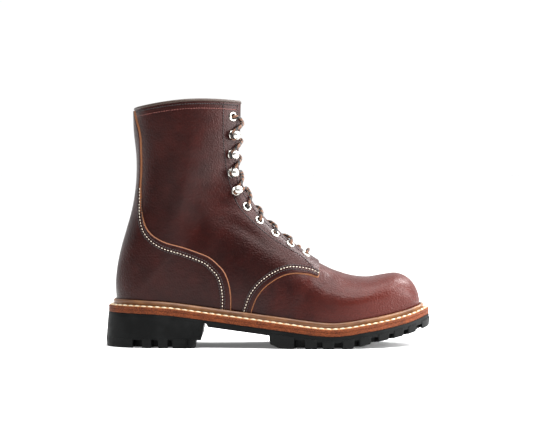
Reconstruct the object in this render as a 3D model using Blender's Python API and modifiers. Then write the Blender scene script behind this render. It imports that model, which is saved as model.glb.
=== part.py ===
"""A right-foot logger boot: lug outsole, stacked heel block, leather midsole, storm welt, insole, a hollow
upper with its quarters and heel counter raised, collar binding, tongue, eyelets, lace hooks and laces.

Metres, +Z up, toe along +X, the outer side of the foot at -Y. The origin is on the floor, at the middle of
the outsole.
"""

from bisect import bisect_right
from collections import namedtuple
import math

import bmesh
import bpy
from mathutils import Matrix, Vector

# The whole boot
OUTSOLE_LENGTH = 0.3152
BALL_WIDTH = 0.100
HEEL_SEAT_WIDTH = 0.066
COLLAR_HEIGHT = 0.2355
HEEL_LIFT = 0.0402
CLEARANCE = 0.0003

# The upper's leather
WALL = 0.0022
QUARTER_LAYER = 0.0018
COUNTER_LAYER = 0.0016
LAYER_ROOT = 0.0007
LAYER_STEP = 0.0004
SIDE_SWELL = 0.03
COLLAR_BOW = 0.0045
THROAT_GAP = 0.019
THROAT_FOOT = 0.65

# The bottom of the boot, from the welt down
WELT_REACH = 0.0083
WELT_EDGE = 0.0029
WELT_SLOPE = 0.0014
RIB_HEIGHT = 0.0048
RIB_THICKNESS = 0.0026
WELT_FIT = 0.0007
MIDSOLE = 0.0034
PLATE = 0.0055
HEEL_PLATE = 0.0020
SOLE_FLARE = 0.0022
HEEL_FLARE = 0.0036
HEEL_RAKE = 0.003
LUG_BAND = 0.021
INSOLE = 0.0035
INSOLE_FIT = 0.0022

# Tongue and collar binding
TONGUE = 0.0024
TONGUE_WIDTH = 0.062
TONGUE_DROP = 0.008
TONGUE_GAP = 0.0013
TONGUE_FOOT_ROW = 9.0
TONGUE_COLUMNS = 6
BINDING = 0.0013
BINDING_DEPTH = 0.0048
BINDING_FIT = 0.0004

# Eyelets, hooks and laces
EYELET_RADIUS = 0.0048
EYELET_HOLE = 0.0027
EYELET_BARREL = 0.0005
EYELET_FLANGE = 0.0009
EYELET_INSET = 0.0100
HOOK_RADIUS = 0.0042
HOOK_BASE = 0.0009
HOOK_NECK = 0.0015
HOOK_CAP = 0.0043
HOOK_DOME = 0.0024
HOOK_REACH = 0.0050
LACE = 0.0028
LACE_SIDES = 5
LACE_LIFT = 0.0012

RIGHT, LEFT = 1, -1
FEATHER_LENGTH = OUTSOLE_LENGTH - 2 * WELT_REACH - HEEL_FLARE - SOLE_FLARE / 2

# Leather, rubber and metal: base colour, roughness, metallic
FINISHES = {
    "upper": ((0.065, 0.018, 0.013), 0.45, 0.0),
    "welt": ((0.23, 0.12, 0.05), 0.55, 0.0),
    "midsole": ((0.25, 0.075, 0.03), 0.6, 0.0),
    "rubber": ((0.012, 0.012, 0.013), 0.7, 0.0),
    "insole": ((0.42, 0.28, 0.17), 0.7, 0.0),
    "binding": ((0.07, 0.04, 0.03), 0.55, 0.0),
    "metal": ((0.80, 0.78, 0.72), 0.2, 1.0),
    "lace": ((0.06, 0.035, 0.025), 0.8, 0.0),
}


def smooth_curve(places, values):
    """A smooth curve through the values, one for each place, as a function of the place."""
    last = len(places) - 1

    def slope(i):
        low, high = max(i - 1, 0), min(i + 1, last)
        return (values[high] - values[low]) / (places[high] - places[low])

    def value(at):
        i = min(max(bisect_right(places, at) - 1, 0), last - 1)
        span = places[i + 1] - places[i]
        t = min(max((at - places[i]) / span, 0.0), 1.0)
        rise, fall = slope(i) * span, slope(i + 1) * span
        return (
            (2 * t**3 - 3 * t**2 + 1) * values[i]
            + (t**3 - 2 * t**2 + t) * rise
            + (3 * t**2 - 2 * t**3) * values[i + 1]
            + (t**3 - t**2) * fall
        )

    return value


def column_curve(rows, column, place=None):
    """smooth_curve over one named column of a table, against another column or the row's number."""
    places = [getattr(row, place) for row in rows] if place else list(range(len(rows)))
    return smooth_curve(places, [getattr(row, column) for row in rows])


def ease(share):
    share = min(max(share, 0.0), 1.0)
    return share * share * (3 - 2 * share)


# Plan of the last where the upper meets the welt. along: share of the feather length from the heel's end.
# half: half-width as a share of half the ball width. toward_inner: how far the middle lies to the inner
# side, as a share of the ball width. Both ends are rounded off by plan_half.
Plan = namedtuple("Plan", "along half toward_inner")
PLAN = (
    Plan(0.00, 0.66, 0.000),
    Plan(0.15, 0.66, 0.000),
    Plan(0.30, 0.67, -0.012),
    Plan(0.42, 0.71, -0.025),
    Plan(0.54, 0.82, -0.020),
    Plan(0.65, 0.94, -0.004),
    Plan(0.75, 0.99, 0.016),
    Plan(0.84, 0.97, 0.038),
    Plan(0.92, 0.93, 0.055),
    Plan(1.00, 0.92, 0.062),
)
HEEL_ROUND, HEEL_POWER = 0.15, 2.15
TOE_ROUND, TOE_POWER = 0.29, 2.05
plan_width = column_curve(PLAN, "half", "along")
plan_middle = column_curve(PLAN, "toward_inner", "along")


def rounded(share, power):
    """A quarter of a superellipse: 0 at share 0, and 1 from share 1 on."""
    return max(1 - (1 - min(share, 1.0)) ** power, 0.0) ** (1 / power)


def feather(turn):
    """(x, y half-width, y of the middle) of the feather line. turn runs from 0 at the toe to 1 at the heel."""
    along = (1 + math.cos(math.pi * turn)) / 2
    heel_share = 1 - ease((along - 0.10) / 0.35)
    seat = HEEL_SEAT_WIDTH / 2 * heel_share + PLAN[0].half * BALL_WIDTH / 2 * (1 - heel_share)
    width = plan_width(along) * BALL_WIDTH / 2 * seat / (PLAN[0].half * BALL_WIDTH / 2)
    ends = rounded(along / HEEL_ROUND, HEEL_POWER) * rounded((1 - along) / TOE_ROUND, TOE_POWER)
    return (along - 0.5) * FEATHER_LENGTH, width * ends, plan_middle(along) * BALL_WIDTH


def feather_point(turn, side, reach=0.0):
    """Point (x, y) of the feather line moved outwards by reach. side is 1 on the inner side, -1 on the outer."""
    step = 0.004
    before, after = max(turn - step, 0.0), min(turn + step, 1.0)
    ends = []
    for place in (before, turn, after):
        x, half, middle = feather(place)
        ends.append(Vector((x, middle + side * half)))
    if turn - step < 0:
        x, half, middle = feather(after)
        ends[0] = Vector((x, middle - side * half))
    if turn + step > 1:
        x, half, middle = feather(before)
        ends[2] = Vector((x, middle - side * half))
    run = (ends[2] - ends[0]).normalized()
    return ends[1] + Vector((run.y, -run.x)) * (side * reach)


# Side view of the bottom. along: share of the outsole length from the heel's end. edge: height of the
# welt's outer top edge as a share of HEEL_LIFT. tread: height of the lugs' underside in the same share.
Bottom = namedtuple("Bottom", "along edge tread")
BOTTOM = (
    Bottom(0.00, 0.990, 0.00),
    Bottom(0.10, 0.975, 0.00),
    Bottom(0.20, 0.930, 0.00),
    Bottom(0.31, 0.818, 0.00),
    Bottom(0.40, 0.724, 0.00),
    Bottom(0.485, 0.637, 0.14),
    Bottom(0.54, 0.580, 0.00),
    Bottom(0.64, 0.480, 0.00),
    Bottom(0.69, 0.455, 0.00),
    Bottom(0.74, 0.485, 0.005),
    Bottom(0.78, 0.535, 0.065),
    Bottom(0.83, 0.595, 0.160),
    Bottom(0.88, 0.670, 0.235),
    Bottom(0.93, 0.765, 0.330),
    Bottom(1.00, 0.950, 0.500),
)
edge_share = column_curve(BOTTOM, "edge", "along")
tread_share = column_curve(BOTTOM, "tread", "along")


def edge_at(x):
    """Height of the welt's outer top edge at x. Every layer of the bottom is measured down from it."""
    return HEEL_LIFT * edge_share(x / OUTSOLE_LENGTH + 0.5)


def seat_at(x):
    """Height on which the upper and the insole stand."""
    return edge_at(x) - WELT_EDGE


def tread_at(x):
    return HEEL_LIFT * max(tread_share(x / OUTSOLE_LENGTH + 0.5), 0.0)


def turn_at(x, side, reach):
    """The turn at which the outline moved out by reach passes x, by halving."""
    low, high = 0.0, 1.0
    for _ in range(40):
        middle = (low + high) / 2
        if feather_point(middle, side, reach).x > x:
            low = middle
        else:
            high = middle
    return (low + high) / 2


# The back of the boot, outside the counter. up: share of the way from the seat to the collar.
# in_from_heel: how far it lies in front of the feather line's end, as a share of the feather length.
Back = namedtuple("Back", "up in_from_heel")
BACK = (
    Back(0.00, 0.000),
    Back(0.10, -0.006),
    Back(0.20, -0.001),
    Back(0.30, 0.013),
    Back(0.40, 0.032),
    Back(0.50, 0.050),
    Back(0.60, 0.060),
    Back(0.71, 0.064),
    Back(0.82, 0.060),
    Back(0.92, 0.052),
    Back(1.00, 0.052),
)
back_line = column_curve(BACK, "in_from_heel", "up")
COLLAR_BACK = 0.975

# Sections of the last, from the toe to the collar. crest_x and crest_z: the middle of the top or front, as
# shares of the feather length and the collar height. low: where the section ends, 0 at the toe and 1 at
# the heel along the feather line, then up the back seam to 2 at the collar. half: widest half-width, as a
# share of half the ball width, or 0 where the feather line sets it. front: how square the section's front
# is, where 2 is an ellipse.
Section = namedtuple("Section", "crest_x crest_z low half front")
SECTIONS = (
    Section(1.000, 0.149, 0.000, 0.00, 2.00),
    Section(0.997, 0.190, 0.068, 0.00, 2.00),
    Section(0.989, 0.227, 0.107, 0.00, 2.05),
    Section(0.974, 0.260, 0.147, 0.00, 2.15),
    Section(0.949, 0.286, 0.190, 0.00, 2.25),
    Section(0.916, 0.298, 0.235, 0.00, 2.25),
    Section(0.873, 0.292, 0.280, 0.00, 2.20),
    Section(0.825, 0.283, 0.325, 0.00, 2.15),
    Section(0.773, 0.289, 0.370, 0.00, 2.10),
    Section(0.726, 0.306, 0.415, 0.00, 2.10),
    Section(0.681, 0.330, 0.460, 0.70, 2.30),
    Section(0.637, 0.363, 0.505, 0.78, 2.45),
    Section(0.592, 0.403, 0.550, 0.77, 2.45),
    Section(0.548, 0.448, 0.600, 0.76, 2.40),
    Section(0.505, 0.497, 0.655, 0.75, 2.35),
    Section(0.471, 0.548, 0.715, 0.74, 2.22),
    Section(0.447, 0.601, 0.785, 0.735, 2.00),
    Section(0.433, 0.654, 0.880, 0.735, 1.76),
    Section(0.426, 0.705, 1.000, 0.745, 1.57),
    Section(0.423, 0.756, 1.100, 0.76, 1.48),
    Section(0.422, 0.807, 1.250, 0.785, 1.41),
    Section(0.423, 0.862, 1.450, 0.81, 1.39),
    Section(0.424, 0.926, 1.700, 0.835, 1.38),
    Section(0.426, 1.000, 2.000, 0.855, 1.38),
)
LAST_ROW = len(SECTIONS) - 1
HEEL_ROW = 18
THROAT_ROW = 10.85
THROAT_END_ROWS = 0.9
crest_x = column_curve(SECTIONS, "crest_x")
crest_z = column_curve(SECTIONS, "crest_z")
low_place = column_curve(SECTIONS, "low")
section_half = column_curve(SECTIONS, "half")
front_power = column_curve(SECTIONS, "front")

# Where each layer of leather starts at the feather line, as a turn: in front of these the wall is bare vamp.
QUARTER_TURN, COUNTER_TURN, LAYER_BLEND = 0.517, 0.556, 0.035


def layers_at(turn):
    """How thick the leather over the wall is at the feather line."""
    quarter = ease((turn - QUARTER_TURN) / LAYER_BLEND + 0.5)
    counter = ease((turn - COUNTER_TURN) / LAYER_BLEND + 0.5)
    return quarter * QUARTER_LAYER + counter * COUNTER_LAYER


SEAT_BACK = seat_at(-FEATHER_LENGTH / 2)
BACK_COVER = QUARTER_LAYER + COUNTER_LAYER


def back_x(z):
    """Where the wall's back seam lies at a height."""
    up = (z - SEAT_BACK) / (COLLAR_HEIGHT * COLLAR_BACK - SEAT_BACK)
    return (back_line(min(max(up, 0.0), 1.0)) - 0.5) * FEATHER_LENGTH + BACK_COVER


def heel_rounding(x, z):
    """How much of its full width the wall keeps this near to the back seam."""
    return rounded(max(x - back_x(z), 0.0) / (HEEL_ROUND * FEATHER_LENGTH), HEEL_POWER)


def seat_width(turn):
    """Half-width of the feather line before its heel end is rounded off."""
    x, half, _ = feather(turn)
    return half / rounded((x / FEATHER_LENGTH + 0.5) / HEEL_ROUND, HEEL_POWER)


def low_point(low):
    """(x, half-width before the heel is rounded off, middle, z) where a section of the wall ends."""
    if low <= 1:
        x, _, middle = feather(low)
        full = seat_width(min(low, 0.98))
        x += BACK_COVER * max(1 - (1 - low) * 14, 0.0)
        return x, max(full - layers_at(low), 0.0), middle, seat_at(x)
    up = low - 1
    z = SEAT_BACK + up * (COLLAR_HEIGHT * COLLAR_BACK - SEAT_BACK)
    return back_x(z), seat_width(0.98) - BACK_COVER, 0.0, z


class Slice:
    """One section of the wall's outside: a curve from the crest down to the feather line or the back seam."""

    SAMPLES = 160
    BLEND_POWER = 16
    WIDEST = 0.52

    def __init__(self, row):
        self.row = row
        low = low_place(row)
        self.low_x, low_half, self.middle, self.low_z = low_point(low)
        own = section_half(row) * BALL_WIDTH / 2
        swell = low_half * (1 + SIDE_SWELL) if low <= 1 else 0.0
        self.half = max((own**self.BLEND_POWER + swell**self.BLEND_POWER) ** (1 / self.BLEND_POWER), 1e-6)
        self.low_half = low_half + (self.half - low_half) * ease((low - 1) / 0.4)
        self.front = front_power(row)
        self.crest = Vector(((crest_x(row) - 0.5) * FEATHER_LENGTH, crest_z(row) * COLLAR_HEIGHT))
        if row == 0:
            self.crest = Vector((self.low_x, self.low_z))
        self.bow = COLLAR_BOW * ease((row - LAST_ROW + 4) / 4)
        self.end = math.pi
        self.lengths = [0.0]
        points = [self.at(self.end * i / self.SAMPLES, RIGHT) for i in range(self.SAMPLES + 1)]
        for here, there in zip(points, points[1:]):
            self.lengths.append(self.lengths[-1] + (there - here).length)

    def at(self, angle, side):
        """The point at an angle from the crest, 0, to the low end, half a turn."""
        if angle < math.pi / 2:
            across = self.half * math.sin(angle) ** (2 / self.front)
            share = self.WIDEST * (1 - math.cos(angle) ** (2 / self.front))
        else:
            part = -math.cos(angle)
            across = self.half + (self.low_half - self.half) * part * part
            share = self.WIDEST + (1 - self.WIDEST) * part
        x = self.crest.x + (self.low_x - self.crest.x) * share
        z = self.crest.y + (self.low_z - self.crest.y) * share + self.bow * math.sin(math.pi * share)
        across *= heel_rounding(x, z - self.bow * math.sin(math.pi * share))
        return Vector((x, self.middle + side * across, z))

    def angle_at(self, length):
        """The angle at a length along the curve from the crest."""
        length = min(max(length, 0.0), self.lengths[-1])
        i = min(bisect_right(self.lengths, length), self.SAMPLES) - 1
        span = self.lengths[i + 1] - self.lengths[i]
        part = (length - self.lengths[i]) / span if span > 0 else 0.0
        return self.end * (i + part) / self.SAMPLES

    def length_at_width(self, width):
        """Length along the curve from the crest to where it is this far from the middle."""
        if width <= 0:
            return 0.0
        angle = math.asin(min(width / self.half, 1.0) ** (self.front / 2))
        place = angle / self.end * self.SAMPLES
        i = min(int(place), self.SAMPLES - 1)
        return self.lengths[i] + (self.lengths[i + 1] - self.lengths[i]) * (place - i)

    def spread(self, start, count, side):
        """count + 1 points from a length to the low end, evenly apart."""
        end = self.lengths[-1]
        return [
            self.at(self.angle_at(start + (end - start) * i / count), side) for i in range(count + 1)
        ]


def section_slice(row, made={}):
    """The Slice of a row, worked out once."""
    key = round(row, 6)
    if key not in made:
        made[key] = Slice(row)
    return made[key]


def straight_curve(pairs):
    """Straight lines through (place, value) pairs, as a function of the place."""
    pairs = sorted(pairs)
    places = [place for place, _ in pairs]

    def value(at):
        i = min(max(bisect_right(places, at), 1), len(pairs) - 1)
        (low, first), (high, second) = pairs[i - 1], pairs[i]
        share = (at - low) / (high - low) if high > low else 0.0
        return first + (second - first) * min(max(share, 0.0), 1.0)

    return value


OUTLINE_SAMPLES = 240


def wall_reach(rise, side):
    """How far the upper stands outside the feather line at a height above the seat, as a curve over the turn."""
    turns = [i / OUTLINE_SAMPLES for i in range(OUTLINE_SAMPLES + 1)]
    outline = [feather_point(turn, side) for turn in turns]
    outward = [(feather_point(turn, side, 0.001) - point) / 0.001 for turn, point in zip(turns, outline)]
    found = []
    for i in range(OUTLINE_SAMPLES):
        piece = section_slice(0.3 + (HEEL_ROW + 0.7) * i / OUTLINE_SAMPLES)
        low, high = 0.0, piece.end
        if piece.low_z > seat_at(piece.low_x) + rise or piece.crest.y < seat_at(piece.crest.x) + rise:
            continue
        for _ in range(30):
            middle = (low + high) / 2
            point = piece.at(middle, side)
            if point.z > seat_at(point.x) + rise:
                low = middle
            else:
                high = middle
        place = piece.at(low, side).xy
        k = min(range(len(turns)), key=lambda k: (place - outline[k]).length)
        found.append((turns[k], (place - outline[k]).dot(outward[k]) + layers_at(turns[k])))
    return straight_curve(found)


def half_gap(row):
    """Half the throat's width between the facings at a section."""
    open_share = min(max((row - THROAT_ROW) / THROAT_END_ROWS, 0.0), 1.0)
    widening = THROAT_FOOT + (1 - THROAT_FOOT) * ease((row - THROAT_ROW) / 4) + 0.25 * ease((row - THROAT_ROW) / 9)
    return THROAT_GAP / 2 * math.sqrt(open_share) * widening


def new_collection(name):
    made = bpy.data.collections.new(name)
    bpy.context.scene.collection.children.link(made)
    return made


def material_for(name):
    colour, roughness, metallic = FINISHES[name]
    made = bpy.data.materials.get(name) or bpy.data.materials.new(name)
    made.use_nodes = True
    shader = made.node_tree.nodes["Principled BSDF"]
    shader.inputs["Base Color"].default_value = (*colour, 1)
    shader.inputs["Roughness"].default_value = roughness
    shader.inputs["Metallic"].default_value = metallic
    return made


def add_object(name, mesh, finish, collection):
    made = bpy.data.objects.new(name, mesh)
    collection.objects.link(made)
    if finish:
        mesh.materials.clear()
        mesh.materials.append(material_for(finish))
    return made


def mesh_from(name, shape, merge=1e-6):
    bmesh.ops.remove_doubles(shape, verts=shape.verts, dist=merge)
    bmesh.ops.dissolve_degenerate(shape, edges=shape.edges, dist=1e-7)
    bmesh.ops.recalc_face_normals(shape, faces=shape.faces)
    mesh = bpy.data.meshes.new(name)
    shape.to_mesh(mesh)
    shape.free()
    mesh.shade_smooth()
    mesh.set_sharp_from_angle(angle=math.radians(35))
    return mesh


def loft(rows, closed=False):
    """A bmesh of quads between rows of points. closed joins each row's end to its start."""
    shape = bmesh.new()
    lines = [[shape.verts.new(point) for point in row] for row in rows]
    for line, following in zip(lines, lines[1:]):
        count = len(line)
        for i in range(count if closed else count - 1):
            k = (i + 1) % count
            shape.faces.new((line[i], line[k], following[k], following[i]))
    return shape


def bake(obj):
    """The object's mesh with its modifiers applied, kept on the object."""
    graph = bpy.context.evaluated_depsgraph_get()
    mesh = bpy.data.meshes.new_from_object(obj.evaluated_get(graph))
    obj.modifiers.clear()
    obj.data = mesh
    return obj


def boolean(obj, cutter, operation):
    change = obj.modifiers.new(operation.lower(), "BOOLEAN")
    change.operation = operation
    change.object = cutter
    change.solver = "EXACT"
    bake(obj)
    return obj


def hide_helper(obj):
    obj.hide_render = True
    obj.display_type = "WIRE"


for leftover in list(bpy.data.objects):
    bpy.data.objects.remove(leftover)
parts = new_collection("logger_boot")
helpers = new_collection("cutters")


# Slabs of the bottom: plates that follow the outline, with rungs of faces across from side to side
OUTLINE_STEPS = 28


def turns_between(start, end, steps=OUTLINE_STEPS):
    return [start + (end - start) * i / steps for i in range(steps + 1)]


def slab(turns, rings):
    """A closed plate. rings, from the top down, are (reach, height function); turns run from toe to heel."""
    shape = bmesh.new()
    levels = []
    for reach, height in rings:
        pair = []
        for side in (RIGHT, LEFT):
            line = []
            for turn in turns:
                x, y = feather_point(turn, side, reach)
                line.append(shape.verts.new((x, y, height(x))))
            pair.append(line)
        levels.append(pair)
    last = len(turns) - 1
    for (inner, outer), (lower_inner, lower_outer) in zip(levels, levels[1:]):
        for i in range(last):
            shape.faces.new((inner[i], inner[i + 1], lower_inner[i + 1], lower_inner[i]))
            shape.faces.new((outer[i + 1], outer[i], lower_outer[i], lower_outer[i + 1]))
        shape.faces.new((outer[0], inner[0], lower_inner[0], lower_outer[0]))
        shape.faces.new((inner[last], outer[last], lower_outer[last], lower_inner[last]))
    for inner, outer in (levels[0], levels[-1]):
        for i in range(last):
            shape.faces.new((inner[i], outer[i], outer[i + 1], inner[i + 1]))
    return shape


def below_edge(drop):
    return lambda x: edge_at(x) - drop


WELT_TURNS = turns_between(0, 1)
MIDSOLE_TOP = WELT_EDGE + CLEARANCE
RUBBER_TOP = MIDSOLE_TOP + MIDSOLE + CLEARANCE
HEEL_TOP = RUBBER_TOP + HEEL_PLATE + CLEARANCE


def make_midsole():
    shape = slab(WELT_TURNS, [(WELT_REACH, below_edge(MIDSOLE_TOP)), (WELT_REACH, below_edge(MIDSOLE_TOP + MIDSOLE))])
    return add_object("midsole", mesh_from("midsole", shape), "midsole", parts)


def make_insole():
    inset = -(WALL + INSOLE_FIT)

    def reach(turn):
        return inset - layers_at(turn) - LAYER_ROOT

    shape = bmesh.new()
    levels = []
    for lift in (CLEARANCE + INSOLE, CLEARANCE):
        pair = []
        for side in (RIGHT, LEFT):
            line = []
            for turn in turns_between(0.03, 0.985):
                x, y = feather_point(turn, side, reach(turn))
                line.append(shape.verts.new((x, y, seat_at(x) + lift)))
            pair.append(line)
        levels.append(pair)
    (inner, outer), (low_inner, low_outer) = levels
    last = len(inner) - 1
    for i in range(last):
        shape.faces.new((inner[i], inner[i + 1], low_inner[i + 1], low_inner[i]))
        shape.faces.new((outer[i + 1], outer[i], low_outer[i], low_outer[i + 1]))
        shape.faces.new((inner[i], outer[i], outer[i + 1], inner[i + 1]))
        shape.faces.new((low_outer[i], low_inner[i], low_inner[i + 1], low_outer[i + 1]))
    shape.faces.new((outer[0], inner[0], low_inner[0], low_outer[0]))
    shape.faces.new((inner[last], outer[last], low_outer[last], low_inner[last]))
    return add_object("insole", mesh_from("insole", shape), "insole", parts)


def make_welt():
    """A strip all round: a flat ledge that slopes outwards, and a rounded rib turned up against the upper."""
    top = WELT_SLOPE + RIB_HEIGHT
    sections = []
    for side, turns in ((RIGHT, WELT_TURNS), (LEFT, WELT_TURNS[-2:0:-1])):
        foot_reach = wall_reach(WELT_EDGE, side)
        rib_reach = wall_reach(WELT_EDGE + top, side)
        for turn in turns:
            foot = max(foot_reach(turn), 0.0) + WELT_FIT
            rib = max(rib_reach(turn), foot_reach(turn), 0.0) + WELT_FIT
            outline = (
                (WELT_FIT, -WELT_EDGE),
                (WELT_REACH, -WELT_EDGE),
                (WELT_REACH, 0.0),
                (foot + 1.15 * RIB_THICKNESS, WELT_SLOPE),
                ((foot + rib) / 2 + 0.9 * RIB_THICKNESS, WELT_SLOPE + 0.45 * RIB_HEIGHT),
                (rib + RIB_THICKNESS, top - 0.3 * RIB_HEIGHT),
                (rib + RIB_THICKNESS / 2, top),
                (rib, top - 0.2 * RIB_HEIGHT),
                (foot, WELT_SLOPE),
            )
            ring = []
            for reach, height in outline:
                x, y = feather_point(turn, side, reach)
                ring.append((x, y, edge_at(x) + height))
            sections.append(ring)
    shape = loft([*sections, sections[0]], closed=True)
    return add_object("welt", mesh_from("welt", shape), "welt", parts)


def prism(rings):
    """A closed solid between rings of points, each ring the same way round, with flat ends."""
    shape = loft(rings, closed=True)
    shape.verts.ensure_lookup_table()
    count = len(rings[0])
    shape.faces.new(shape.verts[:count])
    shape.faces.new(shape.verts[-count:])
    bmesh.ops.recalc_face_normals(shape, faces=shape.faces)
    return shape


def join_shapes(name, shapes):
    """One helper object that holds several closed shapes side by side."""
    joined = bmesh.new()
    for shape in shapes:
        mesh = bpy.data.meshes.new(name)
        shape.to_mesh(mesh)
        shape.free()
        joined.from_mesh(mesh)
        bpy.data.meshes.remove(mesh)
    mesh = bpy.data.meshes.new(name)
    joined.to_mesh(mesh)
    joined.free()
    made = add_object(name, mesh, None, helpers)
    hide_helper(made)
    return made


# Lugs. back and front: shares of the outsole length from the heel's end, along the outer edge.
EdgeLug = namedtuple("EdgeLug", "back front")
FOREPART_LUGS = (
    EdgeLug(0.500, 0.576),
    EdgeLug(0.606, 0.645),
    EdgeLug(0.659, 0.696),
    EdgeLug(0.720, 0.757),
    EdgeLug(0.772, 0.808),
    EdgeLug(0.830, 0.864),
    EdgeLug(0.878, 0.910),
    EdgeLug(0.923, 0.951),
    EdgeLug(0.962, 0.983),
)
HEEL_LUGS = (
    EdgeLug(0.114, 0.144),
    EdgeLug(0.163, 0.194),
    EdgeLug(0.206, 0.276),
)
FRONT_LUG = 0.988
BACK_LUG = 0.088
# Cross-shaped lugs down the middle. along: where the middle is. long and wide: half its length and half its
# width, as shares of the ball width.
CrossLug = namedtuple("CrossLug", "along long wide")
FOREPART_CROSSES = (
    CrossLug(0.605, 0.100, 0.140),
    CrossLug(0.688, 0.120, 0.170),
    CrossLug(0.775, 0.120, 0.180),
    CrossLug(0.860, 0.120, 0.150),
)
HEEL_CROSS = CrossLug(0.180, 0.140, 0.110)
LUG_DRAFT = 0.0007
LUG_ROOT = 0.0008
HEEL_LUG_DEPTH = 0.0078
BREAST = 0.308


def edge_lug(side, back, front, reach, height):
    """A lug between two turns. height gives the root's height at x."""
    rings = []
    for draft, top in ((0.0, height), (LUG_DRAFT, tread_at)):
        spread = 0.0015 * draft / LUG_DRAFT
        turns = (front + spread, (front + back) / 2, back - spread)
        outside = [feather_point(turn, side, reach + draft) for turn in turns]
        inside = [feather_point(turn, side, reach - LUG_BAND + draft) for turn in reversed(turns)]
        rings.append([(point.x, point.y, top(point.x)) for point in outside + inside])
    return prism(rings)


def end_lug(turn, reach, height):
    """The lug across the toe or the heel's end, round to this turn on both sides."""
    end = 0.0 if turn < 0.5 else 1.0
    rings = []
    for draft, top in ((0.0, height), (LUG_DRAFT, tread_at)):
        arc = [turn + (end - turn) * i / 4 for i in range(5)]
        path = [(RIGHT, place) for place in arc] + [(LEFT, place) for place in reversed(arc[:-1])]
        outside = [feather_point(place, side, reach + draft) for side, place in path]
        rings.append([(point.x, point.y, top(point.x)) for point in outside])
    return prism(rings)


def cross_lug(row, height):
    """A plus-shaped lug on the middle of the sole."""
    x = (row.along - 0.5) * OUTSOLE_LENGTH
    turn = turn_at(x, RIGHT, 0.0)
    centre = feather(turn)[2]
    rings = []
    for draft, top in ((0.0, height), (LUG_DRAFT, tread_at)):
        ends = Vector((row.long, row.wide)) * BALL_WIDTH - Vector((draft, draft))
        arm = 0.42 * row.long * BALL_WIDTH - draft
        corner = ((ends.x, arm), (arm, arm), (arm, ends.y))
        corners = [Vector(place) for place in corner]
        corners += [Vector((-x_place, y_place)) for x_place, y_place in reversed(corner)]
        corners += [-place for place in corners]
        corners = [place + Vector((x, centre)) for place in corners]
        rings.append([(place.x, place.y, top(place.x)) for place in corners])
    return prism(rings)


def edge_lugs(rows, reach, height):
    shapes = []
    for side in (RIGHT, LEFT):
        for row in rows:
            back = turn_at((row.back - 0.5) * OUTSOLE_LENGTH, side, reach)
            front = turn_at((row.front - 0.5) * OUTSOLE_LENGTH, side, reach)
            shapes.append(edge_lug(side, back, front, reach, height))
    return shapes


def make_outsole():
    """The full-length plate, thinner where the heel block takes over, with the forepart's lugs under it."""
    breast_x = (BREAST - 0.5) * OUTSOLE_LENGTH

    def thickness(x):
        return HEEL_PLATE + (PLATE - HEEL_PLATE) * ease((x - breast_x) / 0.001)

    def underside(x):
        return edge_at(x) - RUBBER_TOP - thickness(x)

    breast = turn_at(breast_x, RIGHT, WELT_REACH)
    turns = sorted([*WELT_TURNS, breast - 0.004, breast + 0.001])
    shape = slab(turns, [(WELT_REACH, below_edge(RUBBER_TOP)), (WELT_REACH + SOLE_FLARE / 2, underside)])
    plate = add_object("outsole", mesh_from("outsole", shape), "rubber", parts)

    def root(x):
        return underside(x) + LUG_ROOT

    reach = WELT_REACH + SOLE_FLARE / 2 - 0.0003
    shapes = edge_lugs(FOREPART_LUGS, reach, root)
    shapes.append(end_lug(turn_at((FRONT_LUG - 0.5) * OUTSOLE_LENGTH, RIGHT, reach), reach, root))
    shapes.extend(cross_lug(row, root) for row in FOREPART_CROSSES)
    return boolean(plate, join_shapes("forepart_lugs", shapes), "UNION")


def make_heel():
    """The heel block: a tapering stack to the root of its lugs, then the lugs."""
    breast_x = (BREAST - 0.5) * OUTSOLE_LENGTH - CLEARANCE - 0.001
    levels = (
        (WELT_REACH, 0.0, lambda x: edge_at(x) - HEEL_TOP),
        (WELT_REACH + 0.6 * HEEL_FLARE, HEEL_RAKE, lambda x: HEEL_LUG_DEPTH),
    )
    shape = bmesh.new()
    pairs = []
    for reach, setback, height in levels:
        pair = []
        for side in (RIGHT, LEFT):
            start = turn_at(breast_x - setback, side, reach)
            line = []
            for turn in turns_between(start, 1.0, 14):
                point = feather_point(turn, side, reach)
                line.append(shape.verts.new((point.x, point.y, height(point.x))))
            pair.append(line)
        pairs.append(pair)
    (inner, outer), (low_inner, low_outer) = pairs
    last = len(inner) - 1
    for i in range(last):
        shape.faces.new((inner[i], inner[i + 1], low_inner[i + 1], low_inner[i]))
        shape.faces.new((outer[i + 1], outer[i], low_outer[i], low_outer[i + 1]))
        shape.faces.new((inner[i], outer[i], outer[i + 1], inner[i + 1]))
        shape.faces.new((low_outer[i], low_inner[i], low_inner[i + 1], low_outer[i + 1]))
    shape.faces.new((outer[0], inner[0], low_inner[0], low_outer[0]))
    block = add_object("heel", mesh_from("heel", shape), "rubber", parts)

    def root(x):
        return HEEL_LUG_DEPTH + LUG_ROOT

    reach = WELT_REACH + 0.6 * HEEL_FLARE - 0.0003
    shapes = edge_lugs(HEEL_LUGS, reach, root)
    shapes.append(end_lug(turn_at((BACK_LUG - 0.5) * OUTSOLE_LENGTH, RIGHT, reach), reach, root))
    shapes.append(cross_lug(HEEL_CROSS, root))
    return boolean(block, join_shapes("heel_lugs", shapes), "UNION")


# The upper: a wall that follows the sections, with the quarters and the counter raised on it
UPPER_COLUMNS = 10
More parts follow.
